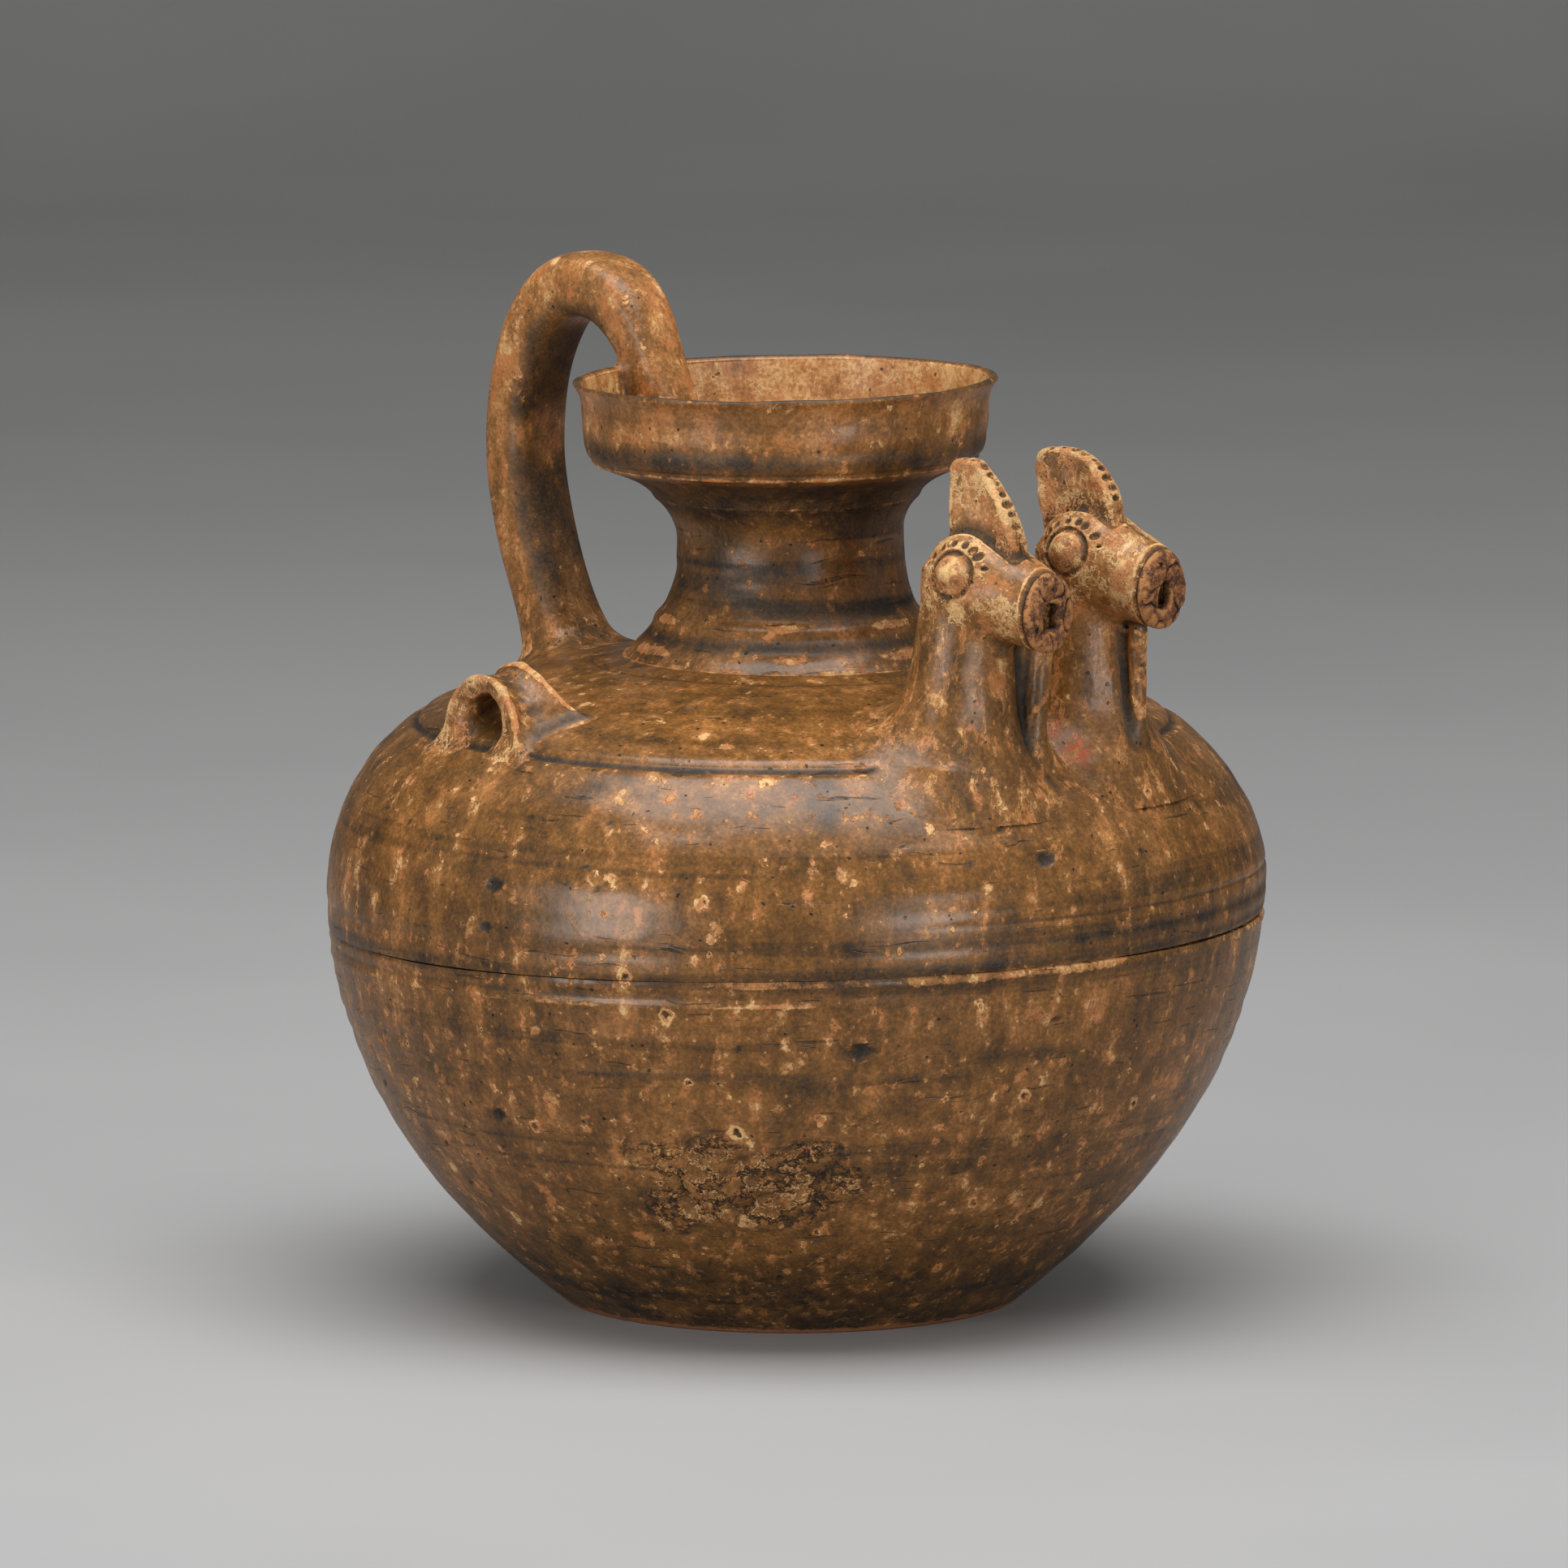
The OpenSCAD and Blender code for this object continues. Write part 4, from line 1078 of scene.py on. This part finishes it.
def handle_strap(p):
    """A squared oval swept along the middle line, wider at the foot, with a soft crest and finger dents."""
    s, across, beyond = handle_place(p)
    tip = HANDLE_STEPS[-1] - s
    dents = 0.05 * noise(p, 14, 81)
    size = 1 + HANDLE_FLARE * bell(s, 10) + dents
    size = size * (1 - HANDLE_SLIM * step(36, 10, tip))
    half_t, half_w = HANDLE_T / 2 * size, HANDLE_W / 2 * size
    ring = np.abs(across / half_t) ** HANDLE_POWER + np.abs(p[..., 1] / half_w) ** HANDLE_POWER
    ring = (ring + 1e-9) ** (1 / HANDLE_POWER)
    body = (ring - 1) * np.minimum(half_t, half_w)
    over = np.where(tip > 0, -tip, beyond)
    return soft_max(body, over, 5.0)


def dish_wall(p):
    return polygon_field(DISH_SECTION, np.hypot(p[..., 0], p[..., 1]), p[..., 2])


def handle():
    foot_fillet, tip_fillet = 6.0, 3.0
    foot_top, far = 142, 20.0

    def field(p):
        strap = handle_strap(p)
        ground = np.where(p[..., 2] < foot_top, jar(p, 1), far)
        mouth = np.full(strap.shape, far)
        near = (p[..., 2] > 172) & (p[..., 2] < 194) & (p[..., 0] > -52)
        mouth[near] = dish_wall(p[near])
        skin = soft_min(soft_min(strap, ground, foot_fillet), mouth, tip_fillet)
        skin = skin + FEATHER * (bell(ground, 1.2) + bell(mouth, 1.2))
        cut = np.maximum(-(ground + SUNK), -(mouth + SUNK))
        cut = np.maximum(cut, np.where(p[..., 2] < 150, strap - foot_fillet, strap - tip_fillet))
        return skin, cut

    def worn(p):
        return 0.42 * step(134, 150, p[:, 2]) + 0.1 * step(165, 195, p[:, 2])

    def groove(p):
        s, outward, _ = handle_place(p)
        long = HANDLE_STEPS[-1]
        # Painted shade on the inner side of the bow, facing the jar
        inner = step(-1.0, -5.0, outward) * step(14, 26, s) * step(long - 14, long - 34, s)
        return 0.9 * inner * step(-0.7, 0.1, noise(p, 10, 83))

    def pale(p):
        return (0.16 + 0.1 * step(165, 195, p[:, 2])) * step(132, 140, p[:, 2])

    box = (-93, -17, 116), (-24, 17, 210)
    luted("handle", "body_glaze", field, box, 0.5, worn, (0.2, 0.35), groove, pale=pale)


def lug(side):
    """A bridge lug: half a ring with a saddle back on two short legs."""
    end_r = GROOVE_R - LUG_INSET
    outer, eye = LUG_W / 2, LUG_EYE_W / 2
    leg, eye_z = LUG_H - outer, LUG_EYE_H - eye
    turn, tilt = math.radians(side * LUG_ANGLE), math.radians(LUG_TILT)
    fillet = 3.5

    def local(p):
        u = p[..., 0] * math.cos(turn) + p[..., 1] * math.sin(turn) - end_r
        v = -p[..., 0] * math.sin(turn) + p[..., 1] * math.cos(turn)
        w = p[..., 2] - shoulder_z(end_r)
        along = u * math.cos(tilt) - w * math.sin(tilt) + LUG_LEN / 2
        return along, v, u * math.sin(tilt) + w * math.cos(tilt)

    def strap(p):
        u, v, w = local(p)
        high = np.clip(w / LUG_H, 0, 1)
        rear = step(2, -LUG_LEN / 2, u)
        half = LUG_LEN / 2 - LUG_PINCH * high + rear * LUG_SPLAY * (1 - 1.6 * high)
        end = np.clip(u / half, -1, 1) ** 2
        arch = np.hypot(v, np.maximum(w - leg, 0))
        foot = LUG_FOOT * (1 - high) ** 2
        back = outer + foot - LUG_DIP * (1 - end) + rear * (LUG_LIFT * high + 0.6 * LUG_SPLAY * (1 - high))
        hole = np.hypot(v, np.maximum(w - eye_z, 0))
        ring = soft_max(arch - back, eye + LUG_EYE_FLARE * end * end - hole, 1.6)
        return soft_max(ring, np.abs(u) - half, 1.6) + 0.35 * noise(p, 5, 91) + 0.15 * noise(p, 2, 92)

    def field(p):
        body = strap(p)
        ground = jar(p, step(fillet, 0.5 * fillet, body))
        skin = soft_min(body, ground, fillet) + FEATHER * bell(ground, 1.0)
        return skin, np.maximum(-(ground + SUNK), body - fillet)

    def worn(p):
        u, _, w = local(p)
        face = LUG_LEN / 2 - LUG_PINCH * np.clip(w / LUG_H, 0, 1) - u
        return np.clip(0.3 + 0.7 * step(2.5, 1.0, face), 0, 1)

    def groove(p):
        # Painted shade along the crease where the lug meets the jar
        crease_shade = step(3.0, 0.8, strap(p)) * bell(jar(p) - 0.2, 1.1)
        return 0.9 * crease_shade * step(-0.5, 0.3, noise(p, 7, 93))

    middle = polar(end_r - LUG_LEN / 2, side * LUG_ANGLE)
    box = (*(middle - 22), 113), (*(middle + 22), 140)
    luted("lug_" + SIDE_NAME[side], "body_glaze", field, box, 0.4, worn, (0.3, 0.5), groove, dark=0.4)


class Bird:
    """One chicken-head spout: where its parts are and the fields of its pieces."""

    def __init__(self, side):
        self.side = side
        self.name = SIDE_NAME[side]
        half = FOOT_GAP / 2
        foot_z = shoulder_z(math.hypot(SPOUT_X, half))
        self.foot = self.turned((SPOUT_X, side * half, foot_z))
        lift = LEFT_LIFT if side == LEFT else 0
        self.head = self.turned((HEAD_X, side * HEAD_GAP / 2 + HEAD_SHIFT, foot_z + HEAD_H + lift))
        yaw = math.radians(PAIR_TURN + BIRD_YAW)
        self.ahead = np.array([math.cos(yaw), math.sin(yaw), 0])
        self.aside = np.array([-math.sin(yaw), math.cos(yaw), 0])
        self.up = np.array([0, 0, 1.0])
        self.beak = self.head + BEAK_REACH * self.ahead - BEAK_DROP * self.up
        self.skull = self.head + HEAD_FORE * self.ahead
        tilt = math.radians(BEAK_TILT)
        self.out = math.cos(tilt) * self.ahead - math.sin(tilt) * self.up
        self.neck_len = float(length(self.head - self.foot))
        self.neck_dir = (self.head - self.foot) / self.neck_len
        self.eyes = [self.eye_frame(place) for place in (1, -1)]
        self.comb_line = self.comb_outline()
        self.dots = self.punched_dots()
        roll_turn = math.radians(RIGHT_ROLL_TURN if side == RIGHT else 0)
        out = math.cos(roll_turn) * self.ahead + math.sin(roll_turn) * self.aside
        self.roll_r = ROLL_R[side]
        self.roll_foot = self.foot + ROLL_OUT[side] * out + ROLL_H * self.up
        self.roll_out = out - (out @ self.neck_dir) * self.neck_dir
        self.roll_across = np.cross(self.neck_dir, out)

    @staticmethod
    def turned(p):
        c, s = polar(1, PAIR_TURN)
        return np.array([p[0] * c - p[1] * s, p[0] * s + p[1] * c, p[2]])

    def eye_frame(self, place):
        """The way an eye looks, and two directions across it: forward and up."""
        yaw = self.side * place * math.radians(90 - EYE_YAW)
        pitch = math.radians(EYE_PITCH)
        level = math.cos(yaw) * self.ahead + math.sin(yaw) * self.aside
        look = math.cos(pitch) * level + math.sin(pitch) * self.up
        fore = self.ahead - (self.ahead @ look) * look
        fore /= length(fore)
        over = np.cross(look, fore)
        return look, fore, over if over[2] > 0 else -over

    def comb_outline(self):
        """Side view of the comb as [forward, up] from the head's middle: front edge, rounded top, back."""
        back, tip, long, lean, bow = -COMB_BACK, COMB_H, COMB_LEN, COMB_LEAN, 0.4
        crown_len = COMB_CROWN[self.side]
        if self.side == LEFT:
            back, tip, long = back - LEFT_COMB_SHIFT, tip - LEFT_COMB_DROP, long + LEFT_COMB_LONGER
            lean, bow = LEFT_COMB_LEAN, 0.9
        nose = np.array([back + long, 0.65 * HEAD_R])
        crown = np.array([back - lean + crown_len, tip])
        span = crown - nose
        chord = (1 - bow) / 3 * span
        share = 0.55 * bow
        leave, arrive = nose + chord + [0, share * span[1]], crown - chord - [share * span[0], 0]
        front = curve(nose, leave, arrive, crown, 20)
        behind = [back - lean, tip - 0.6 * crown_len]
        top = curve(crown, crown - [0.7 * crown_len, 0], [back - lean, tip], behind, 10)
        self.comb_front = front
        self.comb_tip = tip
        root = 0.3 * HEAD_R
        return np.vstack([[nose[0], root], front, top[1:], [back, 0.65 * HEAD_R], [back, root]])

    def punched_dots(self):
        """Dots in an uneven arc over each eye, larger towards the beak: centre, radius, long way, stretch."""
        dots = []
        draw = np.random.default_rng(20 + self.side)
        for look, fore, over in self.eyes:
            spread = math.asin(EYE_RING / HEAD_R)
            for angle in np.linspace(14, 166, 8) + draw.uniform(-5, 5, 8):
                across = math.cos(math.radians(angle)) * fore + math.sin(math.radians(angle)) * over
                place = self.skull + HEAD_R * (math.cos(spread) * look + math.sin(spread) * across)
                share = 1 - angle / 180
                dots.append((place, (0.45 + 0.4 * share) * draw.uniform(0.8, 1.2), across, 1 + share))
        return dots

    def notches(self, x, y, z):
        """Depth of the row of notches pressed across the comb's front edge."""
        depth = 0 * x
        draw = np.random.default_rng(30 + self.side)
        for ex, ez in resample(np.vstack([self.comb_front, self.comb_line[21:26]]), 12)[:-1]:
            size = draw.uniform(0.6, 1.05)
            ex, ez = np.array([ex, ez]) + draw.uniform(-0.3, 0.3, 2)
            far = np.hypot(np.hypot(x - ex, z - ez) / size, y / (1.9 * size))
            depth = np.maximum(depth, step(1.15, 0.5, far))
        return 0.6 * depth

    def local(self, p):
        d = p - self.head
        return d @ self.ahead, d @ self.aside, d[..., 2]

    def tube(self, p):
        """The neck: slimmer upwards, with a flared foot and soft lumps."""
        d = p - self.foot
        h = d @ self.neck_dir
        radial = length(d - h[..., None] * self.neck_dir)
        flare = SPOUT_FLARE * np.exp(-np.maximum(h, -SPOUT_SKIRT) / SPOUT_FALL)
        taper = -SPOUT_SLIM * np.clip(h, 0, None) / self.neck_len
        lumps = 0.5 * noise(p * [1, 1, 0.45], 7, 101) * step(self.neck_len - 4, 10, h)
        return np.maximum(radial - SPOUT_R - flare - taper + lumps, h - self.neck_len)

    def pear(self, p):
        """The head: a ball that tapers into the beak."""
        way = self.beak - self.skull
        far = length(way)
        way = way / far
        d = p - self.skull
        t = d @ way
        radial = length(d - t[..., None] * way)
        angle = math.asin(HEAD_R / math.hypot(BEAK_R, far)) - math.atan2(BEAK_R, far)
        c, s = math.cos(angle), math.sin(angle)
        ball = np.sqrt(t * t + radial * radial) - HEAD_R
        return np.where(t * c - radial * s < 0, ball, t * s + radial * c - HEAD_R)

    def comb(self, p):
        x, y, z = self.local(p)
        lo, hi = self.comb_line.min(0), self.comb_line.max(0)
        gap = np.maximum(np.maximum(lo[0] - x, x - hi[0]), np.maximum(lo[1] - z, z - hi[1]))
        field = np.maximum(gap, np.abs(y) - COMB_T / 2) + 1.0
        near = field < 4
        half = (COMB_T + (COMB_TIP_T - COMB_T) * step(0.65 * HEAD_R, self.comb_tip, z[near])) / 2
        side = polygon_field(self.comb_line, x[near], z[near])
        field[near] = soft_max(side, np.abs(y[near]) - half, 1.5)
        return field

    def eye(self, p, look):
        """A domed pellet: its field, and how far a place is from its axis and along it."""
        seat = math.sqrt(HEAD_R ** 2 - EYE_R ** 2)
        tall = HEAD_R + EYE_OUT - seat
        ball = (EYE_R ** 2 + tall ** 2) / (2 * tall)
        d = p - self.skull
        along = d @ look
        across = length(d - along[..., None] * look)
        dome = length(d - (HEAD_R + EYE_OUT - ball) * look) - ball
        return dome - 0.3 * bell(across, 1.5), across, along

    def roll(self, p):
        """The roll of clay under the beak, on a thin web that joins it to the neck."""
        d = p - self.roll_foot
        h = d @ self.neck_dir
        t = np.clip(h, self.roll_r, ROLL_LEN - self.roll_r)
        bar = length(d - t[..., None] * self.neck_dir) - self.roll_r
        web = np.maximum(np.abs(d @ self.roll_across) - 0.45 * self.roll_r, np.abs(d @ self.roll_out + 3) - 3)
        web = np.maximum(web, np.abs(h - ROLL_LEN / 2) - ROLL_LEN / 2 + 2)
        return soft_min(bar, web, 0.8)

    def incised(self, p, pear, comb, eyes):
        """Depth of the cut lines and punched dots at a place, in mm."""
        depth = 0.8 * bell(comb - 0.55, 0.7) * bell(pear, 1.5)
        for _, across, along in eyes:
            depth = np.maximum(depth, 0.5 * bell(across - EYE_R - 0.45, 0.42) * (along > 5))
        behind = (p - self.beak) @ self.out + COLLAR_LEN
        depth = np.maximum(depth, 0.55 * bell(behind, 0.4) * (pear < 2.5))
        x, y, z = self.local(p)
        crest = bell(y, 0.5) * step(9, 11, x) * step(17, 14, x) * (z > 0)
        depth = np.maximum(depth, 0.4 * crest)
        depth = np.maximum(depth, self.notches(x, y, z))
        for place, radius, across, stretch in self.dots:
            d = p - place
            far = d @ across
            gap = np.sqrt(np.maximum((d * d).sum(-1) - far * far * (1 - 1 / stretch ** 2), 0))
            depth = np.maximum(depth, 0.6 * step(radius + 0.25, radius - 0.4, gap))
        return depth

    def parts(self, p):
        """All the fields of the bird at once."""
        f = {"tube": self.tube(p), "pear": self.pear(p), "comb": self.comb(p), "roll": self.roll(p)}
        eyes = [self.eye(p, look) for look, _, _ in self.eyes]
        f["eyes"] = [dome for dome, _, _ in eyes]
        f["end"] = (p - self.beak) @ self.out
        d = p - self.beak
        hole = length(d - f["end"][..., None] * self.out)
        f["cut_lines"] = self.incised(p, f["pear"], f["comb"], eyes)
        lump = noise(p, 3.2, 103)
        cracks = 0.3 * bell(noise(p, 3.4, 111), 0.09) + 0.14 * noise(p, 1.3, 113)
        face = f["end"] + 0.25 * lump + cracks + 0.5 * bell(hole, 4.2)
        f["pear"] = soft_max(f["pear"] + 0.14 * noise(p, 4.5, 105), face, 2.0)
        f["root"] = soft_min(f["tube"], f["pear"], 4.0)
        skin = soft_min(f["root"], f["roll"] + 0.15 * lump, 1.4)
        skin = soft_min(skin, f["comb"] + 0.12 * lump, 0.6)
        for dome in f["eyes"]:
            skin = soft_min(skin, dome, 0.4)
        skin = skin + f["cut_lines"]
        side = np.maximum(np.abs(d @ self.aside), np.abs(d[..., 2]) * 0.8)
        bore = np.maximum(0.5 * (hole + side) - POUR_R - 0.8 * noise(p, 2.2, 107), -(f["end"] + 9))
        f["bore"] = bore
        f["own"] = soft_max(skin, -bore, 0.9)
        return f

    def regions(self, f):
        """The cut fields of the pieces: each is negative where that piece's clay is."""
        root = -(f["root"] + 0.4)
        cut = {"beak_collar": np.maximum(-(f["end"] + COLLAR_LEN), f["pear"] - 3)}
        cut["comb"] = np.maximum(f["comb"] - 0.35, root)
        cut["roll"] = np.maximum(f["roll"] - 0.45, root)
        cut["eye_outer"], cut["eye_inner"] = (np.maximum(dome - 0.2, root) for dome in f["eyes"])
        taken = np.minimum.reduce(list(cut.values()))
        cut["head"] = np.maximum(f["pear"] - 0.6, -taken)
        cut["neck"] = np.maximum(0.6 - f["pear"], -taken)
        return cut

    def field(self, piece):
        """The function that gives a piece's skin and its cut; those on the jar run into it."""
        fillet = SPOUT_FILLET

        def both(p):
            f = self.parts(p)
            cut = self.regions(f)[piece]
            skin = f["own"]
            if piece in ("neck", "roll"):
                ground = jar(p, step(fillet, 0.4 * fillet, skin))
                cut = np.maximum(np.maximum(cut, -(ground + SUNK)), skin - fillet)
                skin = soft_min(skin, ground, fillet) + FEATHER * bell(ground, 1.2)
            return skin, cut

        return both

    def grooves(self, p):
        """1 where glaze gathers in cut lines and where the pieces meet, and painted shade in the bore."""
        f = self.parts(p)
        deep = np.clip(f["cut_lines"] / 0.42, 0, 1)
        # Painted shade inside the pour hole
        inside = step(0.6, -0.4, f["bore"]) * step(0.5, -1.2, f["end"])
        joint = 0.8 * bell(f["pear"], 1.6) * bell(f["tube"], 1.6) * step(2, 8, (p - self.head) @ self.ahead)
        joint = np.maximum(joint, 0.9 * bell(f["roll"], 1.0) * bell(f["tube"], 1.2))
        ground = 0.7 * bell(jar(p), 1.1) * step(3.5, 1.0, f["own"]) * step(-0.3, 0.4, noise(p, 8, 109))
        return np.clip(np.maximum.reduce([deep, inside, joint, ground]), 0, 1)

    def worn(self, p):
        """The glaze is worn on the head and whole at the foot of the neck."""
        rise = (p - self.foot) @ self.neck_dir / self.neck_len
        return step(0.3, 0.95, rise)

    def build(self):
        head, beak = self.head, self.beak
        boxes = {
            "neck": (self.foot - [28, 28, 14], head + [26, 26, 9], 0.42),
            "head": (head - [13, 14, 13], np.maximum(head, beak) + [12, 14, 13], 0.3),
            "beak_collar": (beak - [7, 11, 11], beak + [5, 11, 11], 0.28),
            "comb": (head + [-16, -8, 4], head + [18, 10, 27], 0.28),
            "eye_outer": (head - [15, 15, 8], head + [16, 16, 12], 0.28),
            "eye_inner": (head - [15, 15, 8], head + [16, 16, 12], 0.28),
            "roll": (self.roll_foot - [10, 10, 2], self.roll_foot + [12, 10, ROLL_LEN + 4], 0.3),
        }
        nodes = {
            "neck": "spout_neck_{}", "roll": "throat_roll_{}",
            "eye_outer": "eye_{}_outer", "eye_inner": "eye_{}_inner",
        }
        slots = {"neck": "body_glaze", "roll": "body_glaze", "beak_collar": "bare_clay"}
        for piece, (lo, hi, size) in boxes.items():
            node = nodes.get(piece, piece + "_{}").format(self.name)
            slot = slots.get(piece, "worn_glaze")
            luted(node, slot, self.field(piece), (lo, hi), size, self.worn, (0.34, 0.5), self.grooves)


# Camera, light and floor

# Lamps: name, angle from the camera's side, angle up, distance, width, height and power
LAMPS = [
    ("top_light", 0, 80, 1.15, 1.3, 0.8, 16),
    ("left_light", -46, 6, 1.4, 0.62, 0.55, 6.8),
    ("right_light", 31, 4, 1.4, 0.56, 0.52, 6.3),
]
LAMP_COLOR = (1.0, 0.985, 0.97)
SKY_COLOR, SKY_STRENGTH = (0.86, 0.84, 0.81, 1), 0.34


def camera():
    data = bpy.data.cameras.new("camera")
    data.sensor_width = CAMERA_SENSOR
    data.lens = CAMERA_LENS
    data.clip_end = 20
    eye = bpy.data.objects.new("camera", data)
    back = polar(CAMERA_AWAY, CAMERA_AZIMUTH - 90)
    aside = polar(CAMERA_ASIDE, CAMERA_AZIMUTH)
    eye.location = np.array([*(back + aside), CAMERA_HEIGHT]) * MM
    eye.rotation_euler = (math.radians(90 - CAMERA_PITCH), 0, math.radians(CAMERA_AZIMUTH))
    bpy.context.scene.collection.objects.link(eye)
    bpy.context.scene.camera = eye


def softbox(name, azimuth, elevation, away, width, height, power):
    """A square lamp that looks at the belly, at angles counted from the camera's side."""
    data = bpy.data.lights.new(name, "AREA")
    data.shape = "RECTANGLE"
    data.size, data.size_y = width, height
    data.energy = power
    data.color = LAMP_COLOR
    lamp = bpy.data.objects.new(name, data)
    a = math.radians(CAMERA_AZIMUTH + azimuth - 90)
    e = math.radians(elevation)
    target = np.array([0, 0, BELLY_Z * MM])
    place = target + away * np.array([math.cos(e) * math.cos(a), math.cos(e) * math.sin(a), math.sin(e)])
    lamp.location = place
    lamp.rotation_euler = (math.radians(90) - e, 0, a + math.radians(90))
    bpy.context.scene.collection.objects.link(lamp)


def studio():
    world = bpy.data.worlds.new("studio")
    world.use_nodes = True
    sky = world.node_tree.nodes["Background"]
    sky.inputs["Color"].default_value = SKY_COLOR
    sky.inputs["Strength"].default_value = SKY_STRENGTH
    bpy.context.scene.world = world
    for lamp in LAMPS:
        softbox(*lamp)


def floor():
    """A pale sweep: level under the ewer, curving up far behind it."""
    fore, behind, width, rise, bend = 5.0, 2.2, 9.0, 4.0, 1.4
    t = np.linspace(0, math.pi / 2, 24)
    turn = np.stack([behind + bend * np.sin(t), bend * (1 - np.cos(t))], -1)
    line = np.vstack([[-fore, 0], turn, [behind + bend, rise]])
    away, right = polar(1, CAMERA_AZIMUTH + 90), polar(1, CAMERA_AZIMUTH)
    points = []
    for side in (-width, width):
        for y, z in line:
            points.append((*(y * away + side * right), z))
    n = len(line)
    faces = [(i, i + n, i + n + 1, i + 1) for i in range(n - 1)]
    mesh = bpy.data.meshes.new("floor")
    mesh.from_pydata(points, [], faces)
    mesh.shade_smooth()
    s = Shader("floor_look")
    grain = s.noise(3, 3, 3, 0.5)
    color = s.mix(s.range(grain, 0.3, 0.7), (0.42, 0.425, 0.435), (0.46, 0.465, 0.475))
    seen = s.add("ShaderNodeLightPath").outputs["Is Camera Ray"]
    color = s.mix(seen, (0.28, 0.28, 0.28), color)
    mesh.materials.append(s.finish(color, 0.6, grain, 0.0))
    sweep = bpy.data.objects.new("floor", mesh)
    bpy.context.scene.collection.objects.link(sweep)


camera()
studio()
floor()
lower_body()
upper_body()
neck()
dish_mouth()
handle()
for side in (LEFT, RIGHT):
    lug(side)
    Bird(side).build()

bpy.context.scene.view_settings.view_transform = "Standard"
